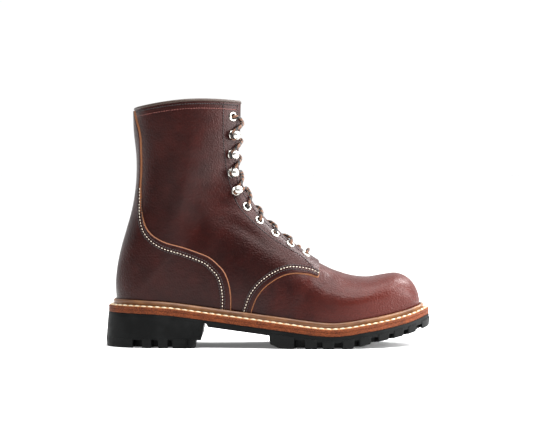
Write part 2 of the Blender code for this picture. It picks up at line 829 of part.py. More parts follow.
# Rows of points over the sections, closer where the form turns. start: section, steps: to the next start.
RowSpan = namedtuple("RowSpan", "start steps")
ROW_SPANS = (
    RowSpan(0.0, 4),
    RowSpan(2.0, 4),
    RowSpan(5.0, 5),
    RowSpan(10.0, 1),
    RowSpan(THROAT_ROW, 1),
    RowSpan(THROAT_ROW + 0.15, 1),
    RowSpan(THROAT_ROW + 0.5, 2),
    RowSpan(12.5, 3),
    RowSpan(15.0, 4),
    RowSpan(HEEL_ROW, 2),
    RowSpan(19.2, 4),
    RowSpan(LAST_ROW, 0),
)
UPPER_ROWS = [
    span.start + (following.start - span.start) * i / span.steps
    for span, following in zip(ROW_SPANS, ROW_SPANS[1:])
    for i in range(span.steps)
] + [float(LAST_ROW)]


def point_on(row, share, side, start_at):
    piece = section_slice(row)
    start = start_at(piece)
    return piece.at(piece.angle_at(start + (piece.lengths[-1] - start) * share), side)


def throat_start(piece):
    return piece.length_at_width(half_gap(piece.row))


def patch(rows, columns, start_at, top_drop=0.0, shares=None):
    """A bmesh of both sides of the wall's outside. top_drop lowers the last row by that length."""
    shape = bmesh.new()
    shares = shares or [i / columns for i in range(columns + 1)]
    for side in (RIGHT, LEFT):
        lines = []
        for row in rows[:-1]:
            lines.append([shape.verts.new(point_on(row, share, side, start_at)) for share in shares])
        top = []
        for share in shares:
            end = point_on(rows[-1], share, side, start_at)
            below = point_on(rows[-1] - 1, share, side, start_at)
            drop = top_drop / (end - below).length
            top.append(shape.verts.new(point_on(rows[-1] - drop, share, side, start_at)))
        lines.append(top)
        for line, following in zip(lines, lines[1:]):
            for j in range(len(shares) - 1):
                face = [line[j], line[j + 1], following[j + 1], following[j]]
                shape.faces.new(face if side == RIGHT else face[::-1])
    bmesh.ops.remove_doubles(shape, verts=shape.verts, dist=2e-5)
    bmesh.ops.dissolve_degenerate(shape, edges=shape.edges, dist=1e-6)
    return shape


def thick_patch(name, shape, inner, outer, finish, collection, lift=0.0):
    """The patch made solid, from inner below its surface to outer above it, and trimmed to the seat or lift above."""
    mesh = bpy.data.meshes.new(name)
    shape.to_mesh(mesh)
    shape.free()
    made = add_object(name, mesh, finish, collection)
    wall = made.modifiers.new("wall", "SOLIDIFY")
    wall.thickness = inner + outer
    wall.offset = (outer - inner) / (outer + inner)
    wall.use_even_offset = True
    wall.use_quality_normals = True
    bake(made)
    for vertex in made.data.vertices:
        if vertex.co.z < 2 * HEEL_LIFT:
            vertex.co.z = max(vertex.co.z, seat_at(vertex.co.x) + lift)
    return made


# Seams in the side view. along: share of the feather length from its middle line at the heel's end.
# up: share of the collar height.
Seam = namedtuple("Seam", "along up")
QUARTER_SEAM = (
    Seam(0.672, 1.100),
    Seam(0.671, 0.332),
    Seam(0.666, 0.290),
    Seam(0.632, 0.297),
    Seam(0.598, 0.303),
    Seam(0.570, 0.302),
    Seam(0.547, 0.295),
    Seam(0.524, 0.282),
    Seam(0.502, 0.264),
    Seam(0.482, 0.243),
    Seam(0.466, 0.219),
    Seam(0.454, 0.193),
    Seam(0.447, 0.168),
    Seam(0.440, 0.137),
    Seam(0.432, 0.050),
)
COUNTER_SEAM = (
    Seam(0.052, 1.100),
    Seam(0.066, 0.961),
    Seam(0.084, 0.876),
    Seam(0.088, 0.815),
    Seam(0.089, 0.722),
    Seam(0.086, 0.656),
    Seam(0.087, 0.594),
    Seam(0.091, 0.537),
    Seam(0.102, 0.489),
    Seam(0.124, 0.454),
    Seam(0.163, 0.426),
    Seam(0.216, 0.407),
    Seam(0.269, 0.384),
    Seam(0.305, 0.365),
    Seam(0.333, 0.336),
    Seam(0.354, 0.306),
    Seam(0.368, 0.262),
    Seam(0.375, 0.209),
    Seam(0.375, 0.152),
    Seam(0.373, 0.050),
)


def behind_seam(name, seam):
    """A slab across the boot that holds everything behind and below a seam."""
    points = [((row.along - 0.5) * FEATHER_LENGTH, row.up * COLLAR_HEIGHT) for row in seam]
    far = -OUTSOLE_LENGTH
    points += [(points[-1][0], -HEEL_LIFT), (far, -HEEL_LIFT), (far, points[0][1])]
    rings = [[(x, y, z) for x, z in points] for y in (-BALL_WIDTH, BALL_WIDTH)]
    made = add_object(name, mesh_from(name, prism(rings)), None, helpers)
    hide_helper(made)
    return made


def shell_over(name, first_row, layer, seam, step):
    """A layer of leather over the wall. Its hidden ends stop short by the step, so that no two ends share a face."""
    rows = [row for row in UPPER_ROWS if row >= first_row]
    shape = patch(
        rows,
        UPPER_COLUMNS,
        lambda piece: throat_start(piece) + step,
        top_drop=BINDING_DEPTH + CLEARANCE + step,
    )
    shell = thick_patch(name, shape, LAYER_ROOT, layer, None, helpers, lift=step)
    hide_helper(shell)
    return boolean(shell, behind_seam(name + "_outline", seam), "INTERSECT")


def make_upper():
    shape = patch(UPPER_ROWS, UPPER_COLUMNS, throat_start)
    upper = thick_patch("upper", shape, WALL, 0.0, "upper", parts)
    quarter = shell_over("quarter_layer", 9.0, QUARTER_LAYER, QUARTER_SEAM, LAYER_STEP)
    boolean(upper, quarter, "UNION")
    counter = shell_over("counter_layer", 11.0, BACK_COVER, COUNTER_SEAM, 2 * LAYER_STEP)
    boolean(upper, counter, "UNION")
    return upper


def facing_frame(row, length, side):
    """(point, outward, up along the rows, towards the throat) on the wall's outside."""
    step = 0.12
    near = 0.0005
    point = section_point(row, length, side)
    up = (section_point(row + step, length, side) - section_point(row - step, length, side)).normalized()
    across = section_point(row, length + near, side) - section_point(row, max(length - near, 0.0), side)
    outward = across.cross(up).normalized() * side
    return point, outward, up, outward.cross(up) * side


def section_point(row, length, side):
    piece = section_slice(min(row, float(LAST_ROW)))
    return piece.at(piece.angle_at(length), side)


# The rows of fasteners up each side of the throat, from the lowest. up: height as a share of the collar
# height.
Fastener = namedtuple("Fastener", "kind up")
FASTENERS = (
    Fastener("eyelet", 0.372),
    Fastener("eyelet", 0.413),
    Fastener("eyelet", 0.458),
    Fastener("eyelet", 0.512),
    Fastener("eyelet", 0.568),
    Fastener("hook", 0.632),
    Fastener("hook", 0.708),
    Fastener("hook", 0.785),
    Fastener("hook", 0.864),
    Fastener("eyelet", 0.938),
)


def fastener_place(fastener):
    """(row, length from the crest) of a fastener, by halving on its height."""
    low, high = THROAT_ROW - 0.5, float(LAST_ROW)
    for _ in range(30):
        row = (low + high) / 2
        length = throat_start(section_slice(row)) + EYELET_INSET
        if section_point(row, length, LEFT).z < fastener.up * COLLAR_HEIGHT:
            low = row
        else:
            high = row
    return row, length


def turned(rings, frame, steps):
    """A closed solid turned about the frame's outward direction. rings are (radius, height)."""
    point, outward, up, inward = frame
    shape = bmesh.new()
    lines = []
    for radius, height in rings:
        line = []
        for i in range(steps):
            angle = 2 * math.pi * i / steps
            spoke = up * math.cos(angle) + inward * math.sin(angle)
            line.append(shape.verts.new(point + outward * height + spoke * radius))
        lines.append(line)
    return shape, lines


def bridge(shape, lines, wrap):
    pairs = list(zip(lines, lines[1:]))
    if wrap:
        pairs.append((lines[-1], lines[0]))
    count = len(lines[0])
    for line, following in pairs:
        for i in range(count):
            k = (i + 1) % count
            shape.faces.new((line[i], line[k], following[k], following[i]))


EYELET_STEPS = 8
HOOK_STEPS = 8
FACING_TOP = QUARTER_LAYER + CLEARANCE
BARREL_END = CLEARANCE - WALL


def make_eyelet(name, frame):
    barrel = EYELET_HOLE + EYELET_BARREL
    rings = (
        (EYELET_HOLE, BARREL_END),
        (barrel, BARREL_END),
        (barrel, FACING_TOP),
        (EYELET_RADIUS, FACING_TOP),
        (EYELET_RADIUS - 0.0005, FACING_TOP + EYELET_FLANGE),
        (EYELET_HOLE + 0.0003, FACING_TOP + EYELET_FLANGE),
    )
    shape, lines = turned(rings, frame, EYELET_STEPS)
    bridge(shape, lines, wrap=True)
    return add_object(name, mesh_from(name, shape), "metal", parts)


def make_hook(name, frame):
    """A rivet through the facing, a base, a neck, and a round cap that the lace passes under."""
    under_cap = FACING_TOP + HOOK_REACH
    rings = (
        (HOOK_NECK, BARREL_END),
        (HOOK_NECK, FACING_TOP),
        (HOOK_RADIUS, FACING_TOP),
        (HOOK_RADIUS - 0.0004, FACING_TOP + HOOK_BASE),
        (HOOK_NECK, FACING_TOP + HOOK_BASE),
        (HOOK_NECK, under_cap),
        (HOOK_CAP, under_cap),
        (HOOK_CAP - 0.0003, under_cap + 0.0010),
        (HOOK_CAP * 0.55, under_cap + HOOK_DOME),
    )
    shape, lines = turned(rings, frame, HOOK_STEPS)
    bridge(shape, lines, wrap=False)
    shape.faces.new(lines[0])
    shape.faces.new(lines[-1])
    return add_object(name, mesh_from(name, shape), "metal", parts)


def make_fasteners(upper):
    holes = []
    made = []
    for number, fastener in enumerate(FASTENERS, 1):
        row, length = fastener_place(fastener)
        for side, word in ((RIGHT, "inner"), (LEFT, "outer")):
            frame = facing_frame(row, length, side)
            if fastener.kind == "eyelet":
                made.append(make_eyelet(f"eyelet_{number:02d}_{word}", frame))
                radius, steps = EYELET_HOLE + EYELET_BARREL + CLEARANCE, EYELET_STEPS
            else:
                made.append(make_hook(f"hook_{number:02d}_{word}", frame))
                radius, steps = HOOK_NECK + CLEARANCE, HOOK_STEPS
            rings = ((radius, -WALL - 0.002), (radius, QUARTER_LAYER + 0.002))
            shape, lines = turned(rings, frame, steps)
            bridge(shape, lines, wrap=False)
            shape.faces.new(lines[0])
            shape.faces.new(lines[-1])
            bmesh.ops.recalc_face_normals(shape, faces=shape.faces)
            holes.append(shape)
    boolean(upper, join_shapes("fastener_holes", holes), "DIFFERENCE")
    return made


def make_tongue():
    """A plain tongue inside the throat, from under the vamp to just below the collar."""
    rows = [row for row in UPPER_ROWS if TONGUE_FOOT_ROW <= row]
    shape = bmesh.new()
    lines = []
    for row in rows:
        if row == rows[-1]:
            row -= TONGUE_DROP / 0.0145
        reach = TONGUE_WIDTH / 2 * (0.72 + 0.28 * ease((row - TONGUE_FOOT_ROW) / 8))
        places = [reach * (i / TONGUE_COLUMNS * 2 - 1) for i in range(TONGUE_COLUMNS + 1)]
        line = [section_point(row, abs(place), RIGHT if place > 0 else LEFT) for place in places]
        lines.append([shape.verts.new(point) for point in line])
    for line, following in zip(lines, lines[1:]):
        for i in range(TONGUE_COLUMNS):
            shape.faces.new((line[i], line[i + 1], following[i + 1], following[i]))
    bmesh.ops.recalc_face_normals(shape, faces=shape.faces)
    middle = lines[len(lines) // 2][TONGUE_COLUMNS // 2]
    middle.normal_update()
    if middle.normal.x < 0:
        bmesh.ops.reverse_faces(shape, faces=shape.faces)
    gap = WALL + TONGUE_GAP
    mesh = bpy.data.meshes.new("tongue")
    for vertex in shape.verts:
        vertex.normal_update()
    shifted = [(vertex, vertex.co - vertex.normal * gap) for vertex in shape.verts]
    for vertex, place in shifted:
        vertex.co = place
    shape.to_mesh(mesh)
    shape.free()
    tongue = add_object("tongue", mesh, "upper", parts)
    leather = tongue.modifiers.new("leather", "SOLIDIFY")
    leather.thickness = TONGUE
    leather.offset = -1
    leather.use_quality_normals = True
    return bake(tongue)


def make_binding():
    """A folded strip over the collar's edge, from one facing round the back to the other."""
    sections = []
    shares = [i / UPPER_COLUMNS for i in range(UPPER_COLUMNS + 1)]
    places = [(RIGHT, share) for share in shares] + [(LEFT, share) for share in reversed(shares[:-1])]
    fit = BINDING_FIT
    outer = fit + BINDING
    beside = 1 / UPPER_COLUMNS
    for side, share in places:
        top = point_on(float(LAST_ROW), share, side, throat_start)
        up = (top - point_on(UPPER_ROWS[-2], share, side, throat_start)).normalized()
        before = point_on(float(LAST_ROW), max(share - beside, 0.0), side, throat_start)
        if share < 1:
            after = point_on(float(LAST_ROW), share + beside, side, throat_start)
        else:
            after = point_on(float(LAST_ROW), share - beside, -side, throat_start)
        run = (after - top).normalized() + (top - before).normalized()
        outward = run.cross(up).normalized() * side
        profile = (
            (outer, -BINDING_DEPTH),
            (outer, 0.0),
            (outer - 0.0008, outer - 0.0002),
            (-WALL / 2, outer + 0.0003),
            (-WALL - outer + 0.0008, outer - 0.0002),
            (-WALL - outer, 0.0),
            (-WALL - outer, -BINDING_DEPTH),
            (-WALL - fit, -BINDING_DEPTH),
            (-WALL - fit, fit),
            (fit, fit),
            (fit, -BINDING_DEPTH),
        )
        sections.append([top + outward * across + up * height for across, height in profile])
    return add_object("collar_binding", mesh_from("collar_binding", prism(sections)), "binding", parts)


def tube(path, radius, sides):
    """A closed round tube along a path of points."""
    shape = bmesh.new()
    lines = []
    across = None
    for i, point in enumerate(path):
        ahead = path[min(i + 1, len(path) - 1)]
        behind = path[max(i - 1, 0)]
        run = (ahead - behind).normalized()
        across = Vector((1, 0, 0)) if across is None else across
        across = (across - run * across.dot(run)).normalized()
        other = run.cross(across)
        line = []
        for k in range(sides):
            angle = 2 * math.pi * k / sides
            line.append(shape.verts.new(point + (across * math.cos(angle) + other * math.sin(angle)) * radius))
        lines.append(line)
    bridge(shape, lines, wrap=False)
    shape.faces.new(lines[0])
    shape.faces.new(lines[-1])
    bmesh.ops.recalc_face_normals(shape, faces=shape.faces)
    return shape


def lace_point(row, length, height):
    """A point over the facings and the throat. length runs from the inner side, above 0, to the outer side."""
    side = RIGHT if length > 0 else LEFT
    point, outward, _, _ = facing_frame(row, max(abs(length), 0.0006), side)
    return point + outward * height


def lace_path(first_side):
    """The middle line of one lace strand, from its lowest eyelet up, crossing at every row."""
    rest = FACING_TOP + 2 * CLEARANCE + LACE / 2
    path = []
    side = first_side
    stops = []
    for number, fastener in enumerate(FASTENERS):
        row, length = fastener_place(fastener)
        row_size = (section_point(row + 0.2, length, RIGHT) - section_point(row - 0.2, length, RIGHT)).length / 0.4
        if fastener.kind == "eyelet":
            height = FACING_TOP + EYELET_FLANGE + 2 * CLEARANCE + LACE / 2
        else:
            length -= HOOK_NECK + LACE / 2 + 3 * CLEARANCE
            height = FACING_TOP + HOOK_BASE + CLEARANCE + LACE / 2
        stops.append((row, length, height, LACE * 0.75 / row_size, side))
        side = -side
    for number, (row, length, height, turn_rows, side) in enumerate(stops):
        if number:
            before = stops[number - 1]
            over = LACE_LIFT if (number % 2 == 0) == (first_side == RIGHT) else 0.0
            for share in (0.2, 0.42, 0.58, 0.8):
                place = before[0] + before[3] + (row - turn_rows - before[0] - before[3]) * share
                start, end = before[1] * before[4], length * side
                across = start + (end - start) * share
                lift = rest + over if abs(share - 0.5) < 0.2 else max(rest, height)
                path.append(lace_point(place, across, lift))
            path.append(lace_point(row - turn_rows, length * side, height))
        path.append(lace_point(row, (length + 0.4 * LACE) * side, height))
        if number < len(stops) - 1:
            path.append(lace_point(row + turn_rows, length * side, height))
    return path


def make_laces():
    """The crossings over the throat, joined where one strand passes over the other, and the bar at the bottom."""
    mesh = bpy.data.meshes.new("laces")
    first = tube(lace_path(RIGHT), LACE / 2, LACE_SIDES)
    first.to_mesh(mesh)
    first.free()
    laces = add_object("laces", mesh, "lace", parts)
    other = join_shapes("second_strand", [tube(lace_path(LEFT), LACE / 2, LACE_SIDES)])
    boolean(laces, other, "UNION")
    row, length = fastener_place(FASTENERS[0])
    height = FACING_TOP + EYELET_FLANGE + CLEARANCE + LACE / 2
    bar = [lace_point(row, (length + 0.1 * LACE) * share, height) for share in (1, 0.6, 0.2, -0.2, -0.6, -1)]
    boolean(laces, join_shapes("bottom_bar", [tube(bar, LACE * 0.46, LACE_SIDES)]), "UNION")
    return laces


def centre_boot():
    """Moves every piece so that the outsole and heel lie evenly about the origin."""
    corners = [vertex.co for name in ("outsole", "heel") for vertex in bpy.data.objects[name].data.vertices]
    middle = Vector([(min(c[i] for c in corners) + max(c[i] for c in corners)) / 2 for i in (0, 1)] + [0.0])
    for piece in parts.objects:
        piece.data.transform(Matrix.Translation(-middle))


make_midsole()
make_insole()
make_welt()
make_outsole()
make_heel()
boot_upper = make_upper()
make_fasteners(boot_upper)
make_tongue()
make_binding()
make_laces()
centre_boot()
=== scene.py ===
"""How the right-foot logger boot looks: each piece as it is made, in order of assembly, on a pale floor."""

import math
from collections import namedtuple

import bmesh
import bpy
import numpy as np
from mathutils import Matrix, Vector
from mathutils.bvhtree import BVHTree


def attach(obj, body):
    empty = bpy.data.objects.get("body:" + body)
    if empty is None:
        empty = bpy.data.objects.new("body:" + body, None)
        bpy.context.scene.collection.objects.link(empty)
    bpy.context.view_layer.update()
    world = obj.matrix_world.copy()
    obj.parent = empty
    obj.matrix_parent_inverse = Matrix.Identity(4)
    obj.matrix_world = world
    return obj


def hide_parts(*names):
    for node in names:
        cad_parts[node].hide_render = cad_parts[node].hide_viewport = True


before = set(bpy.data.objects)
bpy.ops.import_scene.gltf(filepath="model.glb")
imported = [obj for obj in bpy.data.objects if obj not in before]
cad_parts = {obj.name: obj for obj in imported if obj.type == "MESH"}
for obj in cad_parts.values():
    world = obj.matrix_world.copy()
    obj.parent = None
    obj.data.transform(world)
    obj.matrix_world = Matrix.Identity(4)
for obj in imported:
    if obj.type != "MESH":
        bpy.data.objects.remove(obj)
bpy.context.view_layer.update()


# Outsole: full-length plate of black lug rubber cemented under the midsole, thin under the heel block, with
# deep scalloped lugs round the forepart's edge and crosses down its middle.

# The last and the lines of the bottom, in metres, which the outsole and every piece after it follow.
OUTSOLE_LENGTH = 0.3152
BALL_WIDTH = 0.100
HEEL_SEAT_WIDTH = 0.066
COLLAR_HEIGHT = 0.2355
HEEL_LIFT = 0.0402
WELT_REACH = 0.0083
HEEL_FLARE = 0.0036
SOLE_FLARE = 0.0022
MIDDLE = np.array([0.0005, -0.0013, 0.0])
FEATHER_LENGTH = OUTSOLE_LENGTH - 2 * WELT_REACH - HEEL_FLARE - SOLE_FLARE / 2
INNER, OUTER = 1, -1


def smooth_curve(places, values):
    """A smooth curve through the values, one for each place, for an array of places."""
    places, values = np.array(places, float), np.array(values, float)
    low = np.maximum(np.arange(len(places)) - 1, 0)
    high = np.minimum(low + 2, len(places) - 1)
    high[0] = 1
    extra = (1,) * (values.ndim - 1)
    slopes = (values[high] - values[low]) / (places[high] - places[low]).reshape(-1, *extra)

    def value(at):
        at = np.clip(np.asarray(at, float), places[0], places[-1])
        i = np.clip(np.searchsorted(places, at, "right") - 1, 0, len(places) - 2)
        span = (places[i + 1] - places[i]).reshape((*at.shape, *extra))
        t = (at - places[i]).reshape((*at.shape, *extra)) / span
        return (
            (2 * t**3 - 3 * t**2 + 1) * values[i]
            + (t**3 - 2 * t**2 + t) * slopes[i] * span
            + (3 * t**2 - 2 * t**3) * values[i + 1]
            + (t**3 - t**2) * slopes[i + 1] * span
        )

    return value


def column_curve(rows, column, place=None):
    places = [getattr(row, place) for row in rows] if place else range(len(rows))
    return smooth_curve(list(places), [getattr(row, column) for row in rows])


def ease(share):
    share = np.clip(share, 0.0, 1.0)
    return share * share * (3 - 2 * share)


def rounded(share, power):
    """A quarter of a superellipse: 0 at share 0, and 1 from share 1 on."""
    return np.maximum(1 - (1 - np.clip(share, 0.0, 1.0)) ** power, 0.0) ** (1 / power)


# The last's plan at the feather line. along: share of its length from the heel. half: half-width as a share
# of half the ball width. toward_inner: where the middle lies, as a share of the ball width.
Plan = namedtuple("Plan", "along half toward_inner")
PLAN = (
    Plan(0.00, 0.66, 0.000),
    Plan(0.15, 0.66, 0.000),
    Plan(0.30, 0.67, -0.012),
    Plan(0.42, 0.71, -0.025),
    Plan(0.54, 0.82, -0.020),
    Plan(0.65, 0.94, -0.004),
    Plan(0.75, 0.99, 0.016),
    Plan(0.84, 0.97, 0.038),
    Plan(0.92, 0.93, 0.055),
    Plan(1.00, 0.92, 0.062),
)
SEAT_END = 0.10
SEAT_TO_WAIST = 0.35
HEEL_ROUND, HEEL_POWER = 0.15, 2.15
TOE_ROUND, TOE_POWER = 0.29, 2.05
plan_width = column_curve(PLAN, "half", "along")
plan_middle = column_curve(PLAN, "toward_inner", "along")
# The bottom's side view. along: share of the outsole's length from the heel. edge: height of the welt's
# outer top edge, and tread: of the lugs' underside, as shares of HEEL_LIFT.
Bottom = namedtuple("Bottom", "along edge tread")
BOTTOM = (
    Bottom(0.00, 0.990, 0.00),
    Bottom(0.10, 0.975, 0.00),
    Bottom(0.20, 0.930, 0.00),
    Bottom(0.31, 0.818, 0.00),
    Bottom(0.40, 0.724, 0.00),
    Bottom(0.485, 0.637, 0.14),
    Bottom(0.54, 0.580, 0.00),
    Bottom(0.64, 0.480, 0.00),
    Bottom(0.69, 0.455, 0.00),
    Bottom(0.74, 0.485, 0.005),
    Bottom(0.78, 0.535, 0.065),
    Bottom(0.83, 0.595, 0.160),
    Bottom(0.88, 0.670, 0.235),
    Bottom(0.93, 0.765, 0.330),
    Bottom(1.00, 0.950, 0.500),
)
edge_share = column_curve(BOTTOM, "edge", "along")
tread_share = column_curve(BOTTOM, "tread", "along")


def feather(turn):
    """x, half-width without its heel end rounded off, heel rounding, and middle of the feather line."""
    along = (1 + np.cos(np.pi * np.asarray(turn, float))) / 2
    seat = 1 - ease((along - SEAT_END) / SEAT_TO_WAIST)
    full = PLAN[0].half * BALL_WIDTH / 2
    width = plan_width(along) * BALL_WIDTH / 2 * (HEEL_SEAT_WIDTH / 2 * seat + full * (1 - seat)) / full
    width = width * rounded((1 - along) / TOE_ROUND, TOE_POWER)
    heel = rounded(along / HEEL_ROUND, HEEL_POWER)
    return (along - 0.5) * FEATHER_LENGTH, width, heel, plan_middle(along) * BALL_WIDTH


def outline(reach, steps=180):
    """The closed ring of (x, y) points outside the feather line by reach, from the toe by the inner side."""
    turns = np.linspace(0, 1, steps + 1)
    x, half, heel, middle = feather(turns)
    half = half * heel
    ring_x = np.concatenate([x, x[-2:0:-1]])
    ring_y = np.concatenate([middle + half, (middle - half)[-2:0:-1]])
    run_x = np.roll(ring_x, -1) - np.roll(ring_x, 1)
    run_y = np.roll(ring_y, -1) - np.roll(ring_y, 1)
    size = np.hypot(run_x, run_y)
    reach = np.broadcast_to(reach, ring_x.shape)
    return np.stack([ring_x + run_y / size * reach, ring_y - run_x / size * reach], 1)


def edge_at(x):
    return HEEL_LIFT * edge_share(x / OUTSOLE_LENGTH + 0.5)


def tread_at(x):
    return HEEL_LIFT * np.maximum(tread_share(x / OUTSOLE_LENGTH + 0.5), 0.0)


class Wire:
    """A shader socket that takes part in sums, with add for any other node."""

    def __init__(self, tree, socket=None):
        self.tree, self.socket = tree, socket

    def add(self, kind, settings=None, output=0, **inputs):
        node = self.tree.nodes.new(kind)
        for name, value in (settings or {}).items():
            setattr(node, name, value)
        for name, value in inputs.items():
            found = node.inputs[int(name[1:]) if name[1:].isdigit() else name.replace("_", " ")]
            if isinstance(value, Wire):
                self.tree.links.new(value.socket, found)
            else:
                found.default_value = value
        return Wire(self.tree, node.outputs[output])

    def sum(self, operation, first, second):
        return self.add("ShaderNodeMath", {"operation": operation}, _0=first, _1=second)

    def __add__(self, other):
        return self.sum("ADD", self, other)

    __radd__ = __add__

    def __sub__(self, other):
        return self.sum("SUBTRACT", self, other)

    def __mul__(self, other):
        return self.sum("MULTIPLY", self, other)

    __rmul__ = __mul__

    def between(self, low, high):
        """0 below low, 1 above high, and smooth in between."""
        kind = {"interpolation_type": "SMOOTHSTEP"}
        return self.add("ShaderNodeMapRange", kind, Value=self, From_Min=low, From_Max=high)

    def colour(self, low, high):
        """A mix of two colours by this value."""
        inputs = {"_0": self, "_6": low, "_7": high}
        return self.add("ShaderNodeMix", {"data_type": "RGBA"}, output=2, **inputs)


def rgb(red, green, blue):
    """A screen colour, 0 to 255, as the linear colour that a shader takes."""
    parts = [v / 255 for v in (red, green, blue)]
    return (*[v / 12.92 if v <= 0.04045 else ((v + 0.055) / 1.055) ** 2.4 for v in parts], 1.0)


def new_material(name):
    """(material, its shader node, a Wire to start sums from)."""
    made = bpy.data.materials.new(name)
    made.use_nodes = True
    return made, made.node_tree.nodes["Principled BSDF"], Wire(made.node_tree)


def noise(wire, scale, detail=3.0, roughness=0.5, stretch=None, distortion=0.0):
    place = wire.add("ShaderNodeTexCoord", output=3)
    if stretch:
        place = wire.add("ShaderNodeMapping", Vector=place, Scale=stretch)
    return wire.add(
        "ShaderNodeTexNoise",
        Vector=place,
        Scale=scale,
        Detail=detail,
        Roughness=roughness,
        Distortion=distortion,
    )


def bump(wire, height, distance, strength):
    return wire.add("ShaderNodeBump", Height=height, Distance=distance, Strength=strength)


def connect(wire, shader, **inputs):
    for name, value in inputs.items():
        found = shader.inputs[name.replace("_", " ")]
        if isinstance(value, Wire):
            wire.tree.links.new(value.socket, found)
        else:
            found.default_value = value


def in_scene(name, data):
    made = bpy.data.objects.new(name, data)
    bpy.context.scene.collection.objects.link(made)
    return made


def mesh_object(name, points, faces, materials, slots=None):
    """A smooth-shaded object from arrays. slots: one material index for each face."""
    mesh = bpy.data.meshes.new(name)
    mesh.from_pydata([tuple(p) for p in points], [], [tuple(int(i) for i in f) for f in faces])
    for material in materials:
        mesh.materials.append(material)
    if slots is not None:
        mesh.polygons.foreach_set("material_index", np.asarray(slots, np.int32))
    shape = bmesh.new()
    shape.from_mesh(mesh)
    bmesh.ops.remove_doubles(shape, verts=shape.verts, dist=2e-6)
    bmesh.ops.recalc_face_normals(shape, faces=shape.faces)
    shape.to_mesh(mesh)
    shape.free()
    mesh.shade_smooth()
    mesh.set_sharp_from_angle(angle=math.radians(42))
    return in_scene(name, mesh)


def placed(made, slot_name, *nodes):
    """The finished piece, riding on the boot and standing for these solids."""
    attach(made, "root")
    if nodes:
        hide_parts(*nodes)
    return made


def ring_loft(rings, closed_section=False):
    """(points, faces) between closed rings, and from the last back to the first for a closed section."""
    rings = np.asarray(rings)
    levels, count = rings.shape[:2]
    a = np.arange(count)
    b = (a + 1) % count
    faces = []
    for level in range(levels if closed_section else levels - 1):
        low, high = level * count, ((level + 1) % levels) * count
        faces.extend(zip(low + a, low + b, high + b, high + a))
    return rings.reshape(-1, 3), faces


def end_caps(count, levels):
    """The first and the last ring of a loft, each as one face."""
    return [tuple(range(count)), tuple(range((levels - 1) * count, levels * count))]


def strip_caps(count, level):
    """Faces across a ring that runs from the toe by one side and back by the other."""
    base = level * count
    half = count // 2
    faces = [(base, base + 1, base + count - 1)]
    faces += [(base + i, base + i + 1, base + count - i - 1, base + count - i) for i in range(1, half - 1)]
    faces.append((base + half - 1, base + half, base + half + 1))
    return faces


WELT_EDGE = 0.0029
MIDSOLE = 0.0034
GAP = 0.0003
PLATE = 0.0055
HEEL_PLATE = 0.0020
LUG_BAND = 0.021
BREAST = 0.308
RUBBER_TOP = WELT_EDGE + MIDSOLE + 2 * GAP
BREAST_X = (BREAST - 0.5) * OUTSOLE_LENGTH
FINE_RING = 720
EdgeLug = namedtuple("EdgeLug", "back front")
FOREPART_LUGS = (
    EdgeLug(0.500, 0.576),
    EdgeLug(0.606, 0.645),
    EdgeLug(0.659, 0.696),
    EdgeLug(0.720, 0.757),
    EdgeLug(0.772, 0.808),
    EdgeLug(0.830, 0.864),
    EdgeLug(0.878, 0.910),
    EdgeLug(0.923, 0.951),
)
CrossLug = namedtuple("CrossLug", "along long wide")
FOREPART_CROSSES = (
    CrossLug(0.605, 0.100, 0.140),
    CrossLug(0.688, 0.120, 0.170),
    CrossLug(0.775, 0.120, 0.180),
    CrossLug(0.860, 0.120, 0.150),
)

rubber, shader, wire = new_material("lug rubber")
dust = noise(wire, 60, 5).between(0.45, 0.75)
speck = noise(wire, 900, 2)
connect(
    wire,
    shader,
    Base_Color=dust.colour(rgb(10, 11, 11), rgb(19, 20, 20)),
    Roughness=0.52 + 0.2 * dust,
    Specular_IOR_Level=0.1,
    Normal=bump(wire, speck, 0.0004, 0.35),
)


def plate_rings(levels, steps=180):
    """Rings of points, one for each (reach, height function) pair."""
    rings = []
    for reach, height in levels:
        flat = outline(reach, steps)
        rings.append(np.column_stack([flat, height(flat[:, 0])]))
    return rings


def plate(name, rings, material):
    """A flat piece of the boot's own outline, closed at both ends."""
    points, faces = ring_loft(rings)
    count = len(rings[0])
    caps = strip_caps(count, 0) + strip_caps(count, len(rings) - 1)
    return mesh_object(name, points + MIDDLE, faces + caps, [material])


def turn_at(x, side, reach):
    """The turn at which the outline moved out by reach passes x."""
    turns = np.linspace(0.0, 1.0, FINE_RING + 1)
    xs = outline(reach, FINE_RING)[:, 0]
    xs = xs[: FINE_RING + 1] if side == INNER else np.concatenate([xs[:1], xs[: FINE_RING - 1 : -1]])
    return float(np.interp(-x, -xs, turns))


def edge_point(turn, side, reach):
    """The points of that outline at these turns."""
    ring = outline(reach, FINE_RING)
    place = np.clip(np.asarray(turn, float), 0, 1) * FINE_RING
    index = place if side == INNER else len(ring) - place
    low = np.floor(index).astype(int)
    part = (index - low)[..., None]
    return ring[low % len(ring)] * (1 - part) + ring[(low + 1) % len(ring)] * part


# How a lug narrows towards the floor. down: share of its depth. shrink: how far it is drawn in, in mm.
LugStep = namedtuple("LugStep", "down shrink")
LUG_STEPS = (
    LugStep(0.00, -0.3),
    LugStep(0.50, 0.1),
    LugStep(0.88, 0.5),
    LugStep(0.97, 0.9),
    LugStep(1.00, 1.6),
)


def lug_solid(footprint, root):
    """Points and faces of a lug: its footprint drawn in step by step towards the rounded end on the floor."""
    middle = footprint.mean(0)
    rings = []
    for down, shrink in LUG_STEPS:
        away = footprint - middle
        size = np.linalg.norm(away, axis=1, keepdims=True)
        flat = middle + away * (1 - shrink * 0.001 / np.maximum(size, 1e-5))
        top, bottom = root(flat[:, 0]), tread_at(flat[:, 0])
        rings.append(np.column_stack([flat, top + (bottom - top) * down]))
    points, faces = ring_loft(rings)
    return points, faces + end_caps(len(footprint), len(rings))


LUG_ROUNDING = 0.0018
CROSS_ROUNDING = 0.0012
POINTS_PER_CORNER = 4


